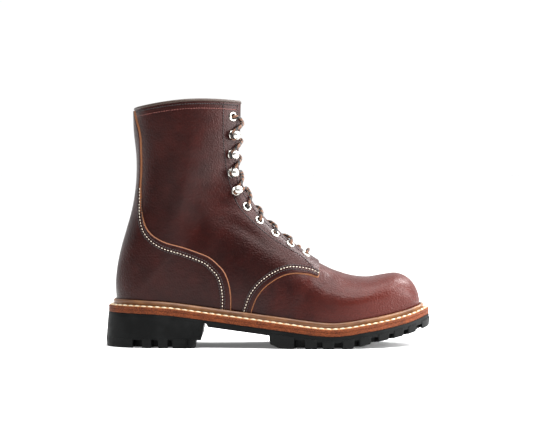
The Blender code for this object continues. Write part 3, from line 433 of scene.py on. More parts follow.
def rounded_polygon(corners, radius=LUG_ROUNDING):
    """The corners of a footprint rounded off."""
    corners = np.asarray(corners)
    out = []
    for i, corner in enumerate(corners):
        before, after = corners[i - 1] - corner, corners[(i + 1) % len(corners)] - corner
        reach = min(radius, 0.45 * np.linalg.norm(before), 0.45 * np.linalg.norm(after))
        start = corner + before / np.linalg.norm(before) * reach
        end = corner + after / np.linalg.norm(after) * reach
        for t in np.linspace(0, 1, POINTS_PER_CORNER):
            out.append((1 - t) ** 2 * start + 2 * t * (1 - t) * corner + t**2 * end)
    return np.array(out)


def lugs(rows, crosses, end_turn, reach, root):
    """Every lug of the outsole or the heel, as (points, faces) pairs."""
    made = []
    for side in (INNER, OUTER):
        for row in rows:
            back = turn_at((row.back - 0.5) * OUTSOLE_LENGTH, side, reach)
            front = turn_at((row.front - 0.5) * OUTSOLE_LENGTH, side, reach)
            turns = np.linspace(front, back, 5)
            outside = edge_point(turns, side, reach)
            inside = edge_point(turns[::-1][[0, 2, 4]], side, reach - LUG_BAND)
            if side == OUTER:
                outside, inside = outside[::-1], inside[::-1]
            made.append(lug_solid(rounded_polygon(np.concatenate([outside, inside])), root))
    end = 0.0 if end_turn < 0.5 else 1.0
    arc = np.linspace(end_turn, end, 9)
    ends = np.concatenate([edge_point(arc, INNER, reach), edge_point(arc[-2::-1], OUTER, reach)])
    made.append(lug_solid(rounded_polygon(ends), root))
    for row in crosses:
        x = (row.along - 0.5) * OUTSOLE_LENGTH
        centre = feather(turn_at(x, INNER, 0.0))[3]
        long, wide, arm = row.long * BALL_WIDTH, row.wide * BALL_WIDTH, 0.42 * row.long * BALL_WIDTH
        corner = [(long, arm), (arm, arm), (arm, wide)]
        corners = corner + [(-a, b) for a, b in corner[::-1]]
        corners += [(-a, -b) for a, b in corners]
        made.append(lug_solid(rounded_polygon(np.array(corners) + (x, centre), CROSS_ROUNDING), root))
    return made


def joined(name, shapes, materials, slot_name, *nodes):
    """One object from several closed shapes."""
    points, faces, start = [], [], 0
    for shape_points, shape_faces in shapes:
        points.append(np.asarray(shape_points))
        faces.extend(tuple(i + start for i in face) for face in shape_faces)
        start += len(shape_points)
    made = mesh_object(name, np.concatenate(points) + MIDDLE, faces, materials)
    return placed(made, slot_name, *nodes)


def underside(x):
    thick = HEEL_PLATE + (PLATE - HEEL_PLATE) * ease((x - BREAST_X) / 0.001)
    return edge_at(x) - RUBBER_TOP - thick


def below(drop):
    """A height function: so far below the welt's top edge."""
    return lambda x: edge_at(x) - drop


PLATE_LEVELS = [
    (WELT_REACH - 0.0004, below(RUBBER_TOP - GAP)),
    (WELT_REACH + 0.0001, below(RUBBER_TOP - 0.0001)),
    (WELT_REACH + 0.0003, below(RUBBER_TOP + 0.0008)),
    (WELT_REACH + 0.0006, underside),
]
outsole = plate("outsole_plate", plate_rings(PLATE_LEVELS), rubber)
placed(outsole, "rubber", "outsole")

TOE_LUG_START = 0.966
LUG_REACH = WELT_REACH + 0.0009
LUG_OVERLAP = 0.0020
tread = lugs(
    FOREPART_LUGS,
    FOREPART_CROSSES,
    turn_at((TOE_LUG_START - 0.5) * OUTSOLE_LENGTH, INNER, LUG_REACH),
    LUG_REACH,
    lambda x: underside(x) + LUG_OVERLAP,
)
CORE_INSET = 0.0065
CORE_LIFT = 0.0009
CORE_OVERLAP = 0.0008
FOREPART_CORE = (0.004, 0.147)


def core(ring, root):
    """The rubber between the lugs, set in from the edge, that closes the view from side to side."""
    top = np.column_stack([ring, root(ring[:, 0])])
    low = np.column_stack([ring, np.minimum(tread_at(ring[:, 0]) + CORE_LIFT, root(ring[:, 0]))])
    points, faces = ring_loft([top, low])
    return points, faces + end_caps(len(ring), 2)


def between(ring, low, high):
    """The ring squeezed to lie between two places along the boot."""
    return np.column_stack([np.clip(ring[:, 0], low, high), ring[:, 1]])


core_ring = between(outline(WELT_REACH - CORE_INSET, 90), *FOREPART_CORE)
tread.append(core(core_ring, lambda x: underside(x) + CORE_OVERLAP))
joined("forepart_lugs", tread, [rubber], "rubber")


# Heel: a separate block of the same rubber, pegged under the heel seat. It widens a little downwards, its
# breast leans back, and its own lugs are cut into the bottom.
HEEL_RAKE = 0.003
HEEL_LUG_DEPTH = 0.0078
HEEL_TOP = RUBBER_TOP + HEEL_PLATE + GAP
HEEL_REACH = WELT_REACH + 0.6 * HEEL_FLARE
BREAST_INSET = 0.0013
BACK_LUG_START = 0.088
HEEL_CORE = (-0.150, -0.078)
HEEL_LUGS = (
    EdgeLug(0.114, 0.144),
    EdgeLug(0.163, 0.194),
    EdgeLug(0.206, 0.276),
)
HEEL_CROSS = CrossLug(0.180, 0.140, 0.110)


def heel_ring(reach, setback, height):
    """The ring round the heel block, back from its breast, with the breast as its straight side."""
    x = BREAST_X - BREAST_INSET - setback
    inner = edge_point(np.linspace(turn_at(x, INNER, reach), 1, 60), INNER, reach)
    outer = edge_point(np.linspace(turn_at(x, OUTER, reach), 1, 60), OUTER, reach)[-2::-1]
    flat = np.concatenate([inner, outer])
    return np.column_stack([flat, height(flat[:, 0])])


def level_at(height):
    """A height function: the same height everywhere."""
    return lambda x: np.full_like(x, height)


block = [
    heel_ring(WELT_REACH + 0.0004, 0.0002, below(HEEL_TOP - GAP)),
    heel_ring(WELT_REACH + 0.0006, 0.0, below(HEEL_TOP + 0.0006)),
    heel_ring(HEEL_REACH, HEEL_RAKE * 0.8, level_at(HEEL_LUG_DEPTH + 0.002)),
    heel_ring(HEEL_REACH + 0.0001, HEEL_RAKE, level_at(HEEL_LUG_DEPTH + 0.0005)),
    heel_ring(HEEL_REACH - 0.0006, HEEL_RAKE + 0.0004, level_at(HEEL_LUG_DEPTH)),
]
block_points, block_faces = ring_loft(block)
block_faces += end_caps(len(block[0]), len(block))
heel_lug_root = level_at(HEEL_LUG_DEPTH + CORE_OVERLAP)
heel_lugs = lugs(
    HEEL_LUGS,
    (HEEL_CROSS,),
    turn_at((BACK_LUG_START - 0.5) * OUTSOLE_LENGTH, INNER, HEEL_REACH),
    HEEL_REACH + 0.0002,
    heel_lug_root,
)
heel_core = between(outline(WELT_REACH - CORE_INSET, 90), *HEEL_CORE)
heel_lugs.append(core(heel_core, heel_lug_root))
joined("heel_block", [(block_points, block_faces), *heel_lugs], [rubber], "rubber", "heel")


# Midsole: one full-length layer of vegetable-tanned leather between the welt and the rubber, its edge sanded
# and waxed but left open-grained.
edge_leather, shader, wire = new_material("sanded leather edge")
fibre = noise(wire, 700, 4, 0.6, stretch=(1.0, 1.0, 1.6))
patch = noise(wire, 90, 3)
tone = (fibre * 0.7 + patch * 0.3).between(0.3, 0.7)
connect(
    wire,
    shader,
    Base_Color=tone.colour(rgb(58, 25, 11), rgb(118, 58, 27)),
    Roughness=0.62,
    Specular_IOR_Level=0.15,
    Normal=bump(wire, fibre, 0.0009, 0.55),
)
top = WELT_EDGE + GAP
MIDSOLE_LEVELS = [
    (WELT_REACH - 0.0004, below(top - 0.0003)),
    (WELT_REACH - 0.0001, below(top - 0.0001)),
    (WELT_REACH + 0.0001, below(top + 0.0016)),
    (WELT_REACH - 0.0001, below(top + MIDSOLE - 0.0003)),
    (WELT_REACH - 0.0006, below(top + MIDSOLE)),
]
midsole = plate("midsole_layer", plate_rings(MIDSOLE_LEVELS), edge_leather)
placed(midsole, "midsole_leather", "midsole")


# The upper's form: sections of the last from the toe to the collar. The crest is the middle of the top or
# front. low runs to 1 round the feather line, then to 2 up the back seam. half is the widest half-width.
WALL = 0.0022
QUARTER_LAYER = 0.0018
COUNTER_LAYER = 0.0016
BACK_COVER = QUARTER_LAYER + COUNTER_LAYER
SIDE_SWELL = 0.03
COLLAR_BOW = 0.0045
COLLAR_BACK = 0.975
THROAT_GAP = 0.019
THROAT_FOOT = 0.65
THROAT_ROW = 10.85
THROAT_END_ROWS = 0.9
WIDEST = 0.52
Back = namedtuple("Back", "up in_from_heel")
BACK = (
    Back(0.00, 0.000),
    Back(0.10, -0.006),
    Back(0.20, -0.001),
    Back(0.30, 0.013),
    Back(0.40, 0.032),
    Back(0.50, 0.050),
    Back(0.60, 0.060),
    Back(0.71, 0.064),
    Back(0.82, 0.060),
    Back(0.92, 0.052),
    Back(1.00, 0.052),
)
back_line = column_curve(BACK, "in_from_heel", "up")
Section = namedtuple("Section", "crest_x crest_z low half front")
SECTIONS = (
    Section(1.000, 0.149, 0.000, 0.00, 2.00),
    Section(0.997, 0.190, 0.068, 0.00, 2.00),
    Section(0.989, 0.227, 0.107, 0.00, 2.05),
    Section(0.974, 0.260, 0.147, 0.00, 2.15),
    Section(0.949, 0.286, 0.190, 0.00, 2.25),
    Section(0.916, 0.298, 0.235, 0.00, 2.25),
    Section(0.873, 0.292, 0.280, 0.00, 2.20),
    Section(0.825, 0.283, 0.325, 0.00, 2.15),
    Section(0.773, 0.289, 0.370, 0.00, 2.10),
    Section(0.726, 0.306, 0.415, 0.00, 2.10),
    Section(0.681, 0.330, 0.460, 0.70, 2.30),
    Section(0.637, 0.363, 0.505, 0.78, 2.45),
    Section(0.592, 0.403, 0.550, 0.77, 2.45),
    Section(0.548, 0.448, 0.600, 0.76, 2.40),
    Section(0.505, 0.497, 0.655, 0.75, 2.35),
    Section(0.471, 0.548, 0.715, 0.74, 2.22),
    Section(0.447, 0.601, 0.785, 0.735, 2.00),
    Section(0.433, 0.654, 0.880, 0.735, 1.76),
    Section(0.426, 0.705, 1.000, 0.745, 1.57),
    Section(0.423, 0.756, 1.100, 0.76, 1.48),
    Section(0.422, 0.807, 1.250, 0.785, 1.41),
    Section(0.423, 0.862, 1.450, 0.81, 1.39),
    Section(0.424, 0.926, 1.700, 0.835, 1.38),
    Section(0.426, 1.000, 2.000, 0.855, 1.38),
)
LAST_ROW = len(SECTIONS) - 1
crest_x = column_curve(SECTIONS, "crest_x")
crest_z = column_curve(SECTIONS, "crest_z")
low_place = column_curve(SECTIONS, "low")
section_half = column_curve(SECTIONS, "half")
front_power = column_curve(SECTIONS, "front")


# Where the quarters and the counter start along the feather line, and how softly their steps begin.
QUARTER_TURN = 0.517
COUNTER_TURN = 0.556
STEP_LENGTH = 0.035


def layers_at(turn):
    """Thickness of the layers over the wall at the feather line."""
    quarter = ease((turn - QUARTER_TURN) / STEP_LENGTH + 0.5)
    counter = ease((turn - COUNTER_TURN) / STEP_LENGTH + 0.5)
    return quarter * QUARTER_LAYER + counter * COUNTER_LAYER


def seat_at(x):
    return edge_at(x) - WELT_EDGE


SEAT_BACK = float(seat_at(-FEATHER_LENGTH / 2))


def back_x(z):
    up = (z - SEAT_BACK) / (COLLAR_HEIGHT * COLLAR_BACK - SEAT_BACK)
    return (back_line(np.clip(up, 0.0, 1.0)) - 0.5) * FEATHER_LENGTH + BACK_COVER


def low_point(low):
    """(x, half-width, middle, z) where a section ends."""
    width = float(feather(min(low, 0.98))[1])
    if low <= 1:
        x, _, _, middle = (float(v) for v in feather(low))
        x += BACK_COVER * max(1 - (1 - low) * 14, 0.0)
        return x, max(width - float(layers_at(low)), 0.0), middle, float(seat_at(x))
    z = SEAT_BACK + (low - 1) * (COLLAR_HEIGHT * COLLAR_BACK - SEAT_BACK)
    return float(back_x(z)), width - BACK_COVER, 0.0, z


class Slice:
    """One section of the wall's outside, from the crest down to the feather line or the back seam."""

    def __init__(self, row):
        low = float(low_place(row))
        low_x, low_half, self.middle, low_z = low_point(low)
        own = float(section_half(row)) * BALL_WIDTH / 2
        swell = low_half * (1 + SIDE_SWELL) if low <= 1 else 0.0
        half = max((own**16 + swell**16) ** (1 / 16), 1e-6)
        low_half += (half - low_half) * float(ease((low - 1) / 0.4))
        front = float(front_power(row))
        crest = (float(crest_x(row)) - 0.5) * FEATHER_LENGTH, float(crest_z(row)) * COLLAR_HEIGHT
        if row == 0:
            crest = low_x, low_z
        angle = np.linspace(0, np.pi, 401)
        fore = angle < np.pi / 2
        cosine = np.abs(np.cos(angle))
        across = np.where(fore, half * np.sin(angle) ** (2 / front), half + (low_half - half) * cosine**2)
        share = np.where(fore, WIDEST * (1 - cosine ** (2 / front)), WIDEST + (1 - WIDEST) * cosine)
        bow = COLLAR_BOW * float(ease((row - LAST_ROW + 4) / 4)) * np.sin(np.pi * share)
        x = crest[0] + (low_x - crest[0]) * share
        z = crest[1] + (low_z - crest[1]) * share
        across = across * rounded(np.maximum(x - back_x(z), 0.0) / (HEEL_ROUND * FEATHER_LENGTH), HEEL_POWER)
        self.row = row
        self.points = np.column_stack([x, across, z + bow])
        steps = np.linalg.norm(np.diff(self.points, axis=0), axis=1)
        self.lengths = np.concatenate([[0.0], np.cumsum(steps)])

    def at(self, lengths, side):
        x, across, z = (np.interp(lengths, self.lengths, self.points[:, k]) for k in range(3))
        return np.stack([x, self.middle + side * across, z], -1)

    def throat_start(self):
        """Length from the crest to the edge of the facing."""
        open_share = min(max((self.row - THROAT_ROW) / THROAT_END_ROWS, 0.0), 1.0)
        rows_up = self.row - THROAT_ROW
        widening = THROAT_FOOT + (1 - THROAT_FOOT) * float(ease(rows_up / 4))
        widening += 0.25 * float(ease(rows_up / 9))
        gap = THROAT_GAP / 2 * math.sqrt(open_share) * widening
        return float(np.interp(gap, self.points[:150, 1], self.lengths[:150])) if gap else 0.0


slices = {}


def slice_at(row):
    key = round(min(max(float(row), 0.0), LAST_ROW), 5)
    if key not in slices:
        slices[key] = Slice(key)
    return slices[key]


# The sections that are worked out in full. Between them the surface is a smooth curve, so that the leather
# runs evenly round the heel, where the sections turn from the sole's edge to the back seam.
KEY_ROWS = np.concatenate(
    [
        np.arange(0, 10.5, 0.25),
        np.arange(10.5, 12, 0.05),
        np.arange(12, 17, 0.25),
        [17.25, 18, 18.6],
        np.linspace(19.2, LAST_ROW, 11),
    ]
)


class Wall:
    """One side of the wall's outside, cut into columns by shares of the length from the throat."""

    def __init__(self, shares, side):
        slices = [slice_at(row) for row in KEY_ROWS]
        starts = [piece.throat_start() for piece in slices]
        lengths = [start + (piece.lengths[-1] - start) * shares for piece, start in zip(slices, starts)]
        self.points = np.array([piece.at(places, side) for piece, places in zip(slices, lengths)])
        self.insets = np.array([places - start for places, start in zip(lengths, starts)])

    def rows(self, rows):
        """(points, lengths from the throat) on these rows."""
        flat = np.concatenate([self.points.reshape(len(KEY_ROWS), -1), self.insets], axis=1)
        fine = smooth_curve(KEY_ROWS, flat)(rows)
        return fine[:, : -self.insets.shape[1]].reshape(len(rows), -1, 3), fine[:, -self.insets.shape[1] :]


def write_uv(mesh, uv):
    """A UV map from one place for each vertex."""
    layer = mesh.uv_layers.new(name="UVMap")
    corners = np.empty(len(mesh.loops), np.int32)
    mesh.loops.foreach_get("vertex_index", corners)
    layer.data.foreach_set("uv", uv[corners].ravel())


class Sheet:
    """A piece of leather: corners with position, normal and named fields, in polygons."""

    FIELDS = ("seam", "other", "drop", "hole", "inset")

    def __init__(self, first_row, last_row, row_steps, columns):
        rows = np.linspace(first_row, last_row, row_steps + 1)
        shares = np.linspace(0, 1, columns + 1)
        points, normals, insets, faces = [], [], [], []
        for side in (INNER, OUTER):
            grid, inset = Wall(shares, side).rows(rows)
            run, rise = np.gradient(grid, axis=1), np.gradient(grid, axis=0)
            normal = np.cross(run, rise) * side
            shut = rows <= THROAT_ROW
            normal[shut, 0, 1] = 0
            back = np.array([float(low_place(row)) > 1 for row in rows])
            normal[back, -1, 1] = 0
            normal /= np.maximum(np.linalg.norm(normal, axis=2, keepdims=True), 1e-12)
            start = len(points) * grid.shape[0] * grid.shape[1]
            index = start + np.arange(grid[..., 0].size).reshape(grid.shape[:2])
            corners = [index[:-1, :-1], index[:-1, 1:], index[1:, 1:], index[1:, :-1]]
            quads = np.stack(corners, -1).reshape(-1, 4)
            faces += (quads if side == INNER else quads[:, ::-1]).tolist()
            points.append(grid.reshape(-1, 3))
            normals.append(normal.reshape(-1, 3))
            insets.append(inset.ravel())
        self.values = np.zeros((sum(len(p) for p in points), 6 + len(self.FIELDS)))
        self.values[:, :3] = np.concatenate(points)
        self.values[:, 3:6] = np.concatenate(normals)
        self.set("inset", np.concatenate(insets))
        self.faces = faces
        self.bands = [0] * len(faces)

    @property
    def points(self):
        return self.values[:, :3]

    def field(self, name):
        return self.values[:, 6 + self.FIELDS.index(name)]

    def set(self, name, numbers):
        self.values[:, 6 + self.FIELDS.index(name)] = numbers

    def split(self, name, level, keep_below=True, band=None):
        """Cuts the polygons along a level of a field, and drops or marks the part below it."""
        column = 6 + self.FIELDS.index(name)
        field = self.values[:, column] - level
        above = field >= 0
        made, extra, faces, bands = {}, [], [], []
        total = len(self.values)
        for face, kind in zip(self.faces, self.bands):
            inside = [above[i] for i in face]
            low = kind if band is None else band
            if all(inside):
                faces.append(face)
                bands.append(kind)
                continue
            if not any(inside):
                if keep_below:
                    faces.append(face)
                    bands.append(low)
                continue
            upper, lower = [], []
            for a, b in zip(face, face[1:] + face[:1]):
                (upper if above[a] else lower).append(a)
                if above[a] != above[b]:
                    key = (a, b) if a < b else (b, a)
                    if key not in made:
                        part = field[key[0]] / (field[key[0]] - field[key[1]])
                        made[key] = total + len(extra)
                        extra.append(self.values[key[0]] * (1 - part) + self.values[key[1]] * part)
                    upper.append(made[key])
                    lower.append(made[key])
            if len(upper) > 2:
                faces.append(upper)
                bands.append(kind)
            if keep_below and len(lower) > 2:
                faces.append(lower)
                bands.append(low)
        if extra:
            self.values = np.vstack([self.values, extra])
        self.faces, self.bands = faces, bands

    def mesh(self, name, height, materials, flip=False):
        """The object, with its points moved out along the normals by this height."""
        normals = self.values[:, 3:6]
        normals = normals / np.maximum(np.linalg.norm(normals, axis=1, keepdims=True), 1e-9)
        points = self.points + normals * np.asarray(height)[:, None]
        used = sorted({i for face in self.faces for i in face})
        place = {old: new for new, old in enumerate(used)}
        faces = [[place[i] for i in (face[::-1] if flip else face)] for face in self.faces]
        uv = np.column_stack([self.field("seam"), self.field("inset")])[used]
        mesh = bpy.data.meshes.new(name)
        mesh.from_pydata((points[used] + MIDDLE).tolist(), [], faces)
        for material in materials:
            mesh.materials.append(material)
        mesh.polygons.foreach_set("material_index", np.array(self.bands, np.int32))
        write_uv(mesh, uv)
        shape = bmesh.new()
        shape.from_mesh(mesh)
        bmesh.ops.remove_doubles(shape, verts=shape.verts, dist=4e-6)
        bmesh.ops.dissolve_degenerate(shape, edges=shape.edges, dist=2e-6)
        shape.to_mesh(mesh)
        shape.free()
        mesh.shade_smooth()
        return in_scene(name, mesh)


def seam_line(seam, places):
    """(x, z) along a seam in the side view. places: counted in the seam's own points."""
    x = (column_curve(seam, "along")(places) - 0.5) * FEATHER_LENGTH
    return x, column_curve(seam, "up")(places) * COLLAR_HEIGHT


def seam_field(points, seam):
    """How far inside the seam, seen from the side, each point lies: above 0 behind and below it."""
    line = np.column_stack(seam_line(seam, np.linspace(0, len(seam) - 1, 8 * len(seam))))
    spot = points[:, [0, 2]]
    nearest = np.full(len(spot), np.inf)
    for a, b in zip(line, line[1:]):
        part = np.clip(((spot - a) @ (b - a)) / max((b - a) @ (b - a), 1e-12), 0, 1)
        nearest = np.minimum(nearest, np.linalg.norm(spot - a - part[:, None] * (b - a), axis=1))
    ring = np.vstack([line, [line[-1, 0], -1.0], [-1.0, -1.0], [-1.0, line[0, 1]]])
    inside = np.zeros(len(spot), bool)
    for a, b in zip(ring, np.roll(ring, -1, axis=0)):
        crosses = (a[1] > spot[:, 1]) != (b[1] > spot[:, 1])
        with np.errstate(divide="ignore", invalid="ignore"):
            x = a[0] + (spot[:, 1] - a[1]) * (b[0] - a[0]) / (b[1] - a[1])
        inside ^= crosses & (spot[:, 0] < x)
    return np.where(inside, nearest, -nearest)


Seam = namedtuple("Seam", "along up")
QUARTER_SEAM = (
    Seam(0.662, 1.100),
    Seam(0.662, 0.420),
    Seam(0.662, 0.340),
    Seam(0.661, 0.300),
    Seam(0.658, 0.288),
    Seam(0.650, 0.290),
    Seam(0.632, 0.297),
    Seam(0.598, 0.303),
    Seam(0.570, 0.302),
    Seam(0.547, 0.295),
    Seam(0.524, 0.282),
    Seam(0.502, 0.264),
    Seam(0.482, 0.243),
    Seam(0.466, 0.219),
    Seam(0.454, 0.193),
    Seam(0.447, 0.168),
    Seam(0.440, 0.137),
    Seam(0.432, 0.050),
)
COUNTER_SEAM = (
    Seam(0.052, 1.100),
    Seam(0.066, 0.961),
    Seam(0.084, 0.876),
    Seam(0.088, 0.815),
    Seam(0.089, 0.722),
    Seam(0.086, 0.656),
    Seam(0.087, 0.594),
    Seam(0.091, 0.537),
    Seam(0.102, 0.489),
    Seam(0.124, 0.454),
    Seam(0.163, 0.426),
    Seam(0.216, 0.407),
    Seam(0.269, 0.384),
    Seam(0.305, 0.365),
    Seam(0.333, 0.336),
    Seam(0.354, 0.306),
    Seam(0.368, 0.262),
    Seam(0.375, 0.209),
    Seam(0.375, 0.152),
    Seam(0.373, 0.050),
)
# Where the eyelets and hooks sit up each facing, from the lowest. up: height as a share of the collar height.
EYELET_INSET = 0.0100
EYELET_HOLE = 0.0037
Fastener = namedtuple("Fastener", "kind up")
FASTENERS = (
    Fastener("eyelet", 0.372),
    Fastener("eyelet", 0.413),
    Fastener("eyelet", 0.458),
    Fastener("eyelet", 0.512),
    Fastener("eyelet", 0.568),
    Fastener("hook", 0.632),
    Fastener("hook", 0.708),
    Fastener("hook", 0.785),
    Fastener("hook", 0.864),
    Fastener("eyelet", 0.938),
)


def fastener_place(fastener):
    """(row, length from the crest) of a fastener, by halving on its height."""
    low, high = THROAT_ROW - 0.5, float(LAST_ROW)
    for _ in range(24):
        row = (low + high) / 2
        piece = Slice(row)
        length = piece.throat_start() + EYELET_INSET
        if piece.at(length, OUTER)[2] < fastener.up * COLLAR_HEIGHT:
            low = row
        else:
            high = row
    return row, length


def facing_frame(row, length, side):
    """(point, outward, up along the rows, towards the throat) on the wall's outside."""
    step, near = 0.12, 0.0005
    point = slice_at(row).at(length, side)
    up = slice_at(row + step).at(length, side) - slice_at(row - step).at(length, side)
    across = slice_at(row).at(length + near, side) - slice_at(row).at(max(length - near, 0.0), side)
    outward = np.cross(across, up) * side
    up, outward = up / np.linalg.norm(up), outward / np.linalg.norm(outward)
    return point, outward, up, np.cross(outward, up) * side


fastener_places = [fastener_place(row) for row in FASTENERS]
fastener_frames = {
    (number, side): facing_frame(*place, side)
    for number, place in enumerate(fastener_places)
    for side in (INNER, OUTER)
}


def hole_field(points):
    """Distance outside the nearest eyelet's hole."""
    nearest = np.full(len(points), 1.0)
    for (number, _), frame_at in fastener_frames.items():
        if FASTENERS[number].kind == "eyelet":
            nearest = np.minimum(nearest, np.linalg.norm(points - frame_at[0], axis=1) - EYELET_HOLE)
    return nearest


# Lining: the flesh side of the upper's leather, seen inside the collar and the throat. It is the wall's inner
# face, 2.2 mm in from the outer one, with the eyelets' holes through it.
ROWS_PER_SECTION, COLUMNS = ((10, 84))


def napped_leather(name, scale, dark, light, roughness, depth, strength, **finish):
    """Leather of one colour, broken up by a fine nap."""
    made, shader, wire = new_material(name)
    nap = noise(wire, scale, 3)
    connect(
        wire,
        shader,
        Base_Color=nap.colour(dark, light),
        Roughness=roughness,
        Normal=bump(wire, nap, depth, strength),
        **finish,
    )
    return made


lining_leather = napped_leather("lining leather", 900, rgb(104, 66, 44), rgb(140, 96, 66), 0.8, 0.0004, 0.4)
lining = Sheet(0.0, LAST_ROW, LAST_ROW * 4, 40)
lining.set("hole", hole_field(lining.points))
lining.split("hole", 0.0, keep_below=False)
lining_object = lining.mesh("lining", np.full(len(lining.points), -WALL), [lining_leather], flip=True)
placed(lining_object, "upper_leather")


# Vamp: one piece of oiled, pebbled leather over the toe and the instep, tucked under the quarters. It is
# darkest where it has been worked near the quarters, and reddest on the toe.
def upper_leather(name, dark, red, grain, gloss):
    """Oiled leather of two colours, with pebble as high as grain and a coat of wax as strong as gloss."""
    made, shader, wire = new_material(name)
    place = wire.add("ShaderNodeTexCoord", output=3)
    x = wire.add("ShaderNodeSeparateXYZ", _0=place)
    clouds = noise(wire, 14, 3, 0.55, distortion=0.6)
    mottle = noise(wire, 70, 4, 0.6)
    toe = x.between(0.055, 0.125)
    fresh = x.between(-0.01, 0.075)
    tone = (clouds * 0.5 + mottle * 0.5 + toe * 0.36 + fresh * 0.22 - 0.10).between(0.12, 0.98)
    pebble = wire.add("ShaderNodeTexVoronoi", {"feature": "SMOOTH_F1"}, Vector=place, Scale=640)
    fine = noise(wire, 2600, 2)
    folds = noise(wire, 190, 3, 0.55, stretch=(0.8, 1.0, 1.9), distortion=0.8)
    height = pebble * grain + fine * 0.25 + folds * 0.8
    wear = noise(wire, 30, 3).between(0.42, 0.66)
    connect(
        wire,
        shader,
        Base_Color=tone.colour(dark, red),
        Roughness=0.31 + 0.12 * wear + fine * 0.06,
        Specular_IOR_Level=0.14,
        Specular_Tint=(1.0, 0.64, 0.6, 1.0),
        Coat_Weight=gloss,
        Coat_Roughness=0.27,
        Normal=bump(wire, height, 0.0006, 0.6),
    )
    return made


raw_edge = napped_leather("raw leather edge", 1400, rgb(74, 38, 16), rgb(142, 84, 38), 0.7, 0.0003, 0.4)
vamp_leather = upper_leather("vamp leather", rgb(18, 6, 7), rgb(68, 25, 20), 1.4, 0.10)
quarter_leather = upper_leather("quarter leather", rgb(19, 5, 5), rgb(54, 16, 12), 0.9, 0.08)
SKIVE = 0.0008
ROUNDING = 0.0009
TUCK = 0.004

# Creases, given in the side view: a middle, a direction in degrees, a length, a width and a depth.
Crease = namedtuple("Crease", "x z turn length width depth")
CREASES = (
    Crease(0.040, 0.062, 62, 0.030, 0.0042, 0.00045),
    Crease(0.056, 0.060, 72, 0.028, 0.0050, 0.00040),
    Crease(0.071, 0.055, 80, 0.022, 0.0045, 0.00030),
    Crease(-0.012, 0.104, -38, 0.034, 0.0050, 0.00050),
    Crease(-0.030, 0.116, -30, 0.040, 0.0060, 0.00060),
    Crease(-0.046, 0.135, -22, 0.038, 0.0065, 0.00055),
    Crease(-0.056, 0.157, -14, 0.036, 0.0060, 0.00045),
    Crease(-0.075, 0.120, -55, 0.040, 0.0080, 0.00050),
    Crease(-0.095, 0.145, 70, 0.045, 0.0080, 0.00050),
    Crease(-0.060, 0.180, -8, 0.032, 0.0055, 0.00035),
)


def crease_height(points):
    total = np.zeros(len(points))
    for crease in CREASES:
        turn = math.radians(crease.turn)
        dx, dz = points[:, 0] - crease.x, points[:, 2] - crease.z
        along = dx * math.cos(turn) + dz * math.sin(turn)
        aside = dz * math.cos(turn) - dx * math.sin(turn)
        bend = aside + 3.0 * along**2
        across = bend / crease.width
        fade = np.exp(-((2 * along / crease.length) ** 2))
        total += crease.depth * fade * (0.6 * np.exp(-((across - 1.5) ** 2)) - np.exp(-(across**2)))
    return total


def leather_height(sheet, base, layer):
    """Height over the wall: the layer, thinned to nothing outside its seam and rounded inside it."""
    seam = sheet.field("seam")
    thinned = 0.75 * (1 + np.maximum(seam, -SKIVE) / SKIVE) - 0.05
    rolled = 1 - 0.25 * (1 - np.clip(seam / ROUNDING, 0, 1)) ** 2
    return base + layer * np.where(seam < 0, thinned, rolled) + crease_height(sheet.points)


vamp = Sheet(0.0, 14.0, 14 * ROWS_PER_SECTION, COLUMNS)
vamp.set("seam", TUCK - seam_field(vamp.points, QUARTER_SEAM))
vamp.split("seam", 0.0, keep_below=False)
vamp_object = vamp.mesh("vamp", crease_height(vamp.points), [vamp_leather])
placed(vamp_object, "upper_leather")


# Quarters: two tall pieces that meet under the lowest eyelets and carry the facings. They lie over the vamp
# with a skived raw edge, and their facings are folded under along the throat.
quarters = Sheet(9.0, LAST_ROW, 14 * ROWS_PER_SECTION, COLUMNS)
quarters.set("seam", seam_field(quarters.points, QUARTER_SEAM))
quarters.set("other", TUCK - seam_field(quarters.points, COUNTER_SEAM))
quarters.set("hole", hole_field(quarters.points))
quarters.split("other", 0.0, keep_below=False)
quarters.split("hole", 0.0, keep_below=False)
quarters.split("seam", -SKIVE, keep_below=False)
quarters.split("seam", 0.0, band=1)
quarters.split("seam", ROUNDING / 2)
quarters.split("seam", ROUNDING)
quarters_height = leather_height(quarters, 0.0, QUARTER_LAYER)
quarters_object = quarters.mesh("quarters", quarters_height, [quarter_leather, raw_edge])
placed(quarters_object, "upper_leather")

# The facing's rolled edge, from the quarter's face to the lining: (bulge into the throat, height).
FOLD = (
    (0.0, QUARTER_LAYER),
    (0.0004, QUARTER_LAYER - 0.0003),
    (0.0005, 0.0),
    (0.0004, -WALL + 0.0004),
    (0.0, -WALL),
)
fold_points, fold_faces = [], []
fold_rows = np.concatenate(
    [np.linspace(THROAT_ROW, THROAT_ROW + 0.4, 14)[:-1], np.linspace(THROAT_ROW + 0.4, LAST_ROW, 130)]
)
for side in (INNER, OUTER):
    first = len(fold_points)
    for row in fold_rows:
        point, outward, _, inward = facing_frame(row, slice_at(row).throat_start(), side)
        fold_points += [point + outward * height + inward * bulge for bulge, height in FOLD]
    for i in range(len(fold_rows) - 1):
        for k in range(len(FOLD) - 1):
            a = first + i * len(FOLD) + k
            quad = (a, a + 1, a + len(FOLD) + 1, a + len(FOLD))
            fold_faces.append(quad if side == OUTER else quad[::-1])
fold = mesh_object("facing_folds", np.array(fold_points) + MIDDLE, fold_faces, [quarter_leather])
placed(fold, "upper_leather")


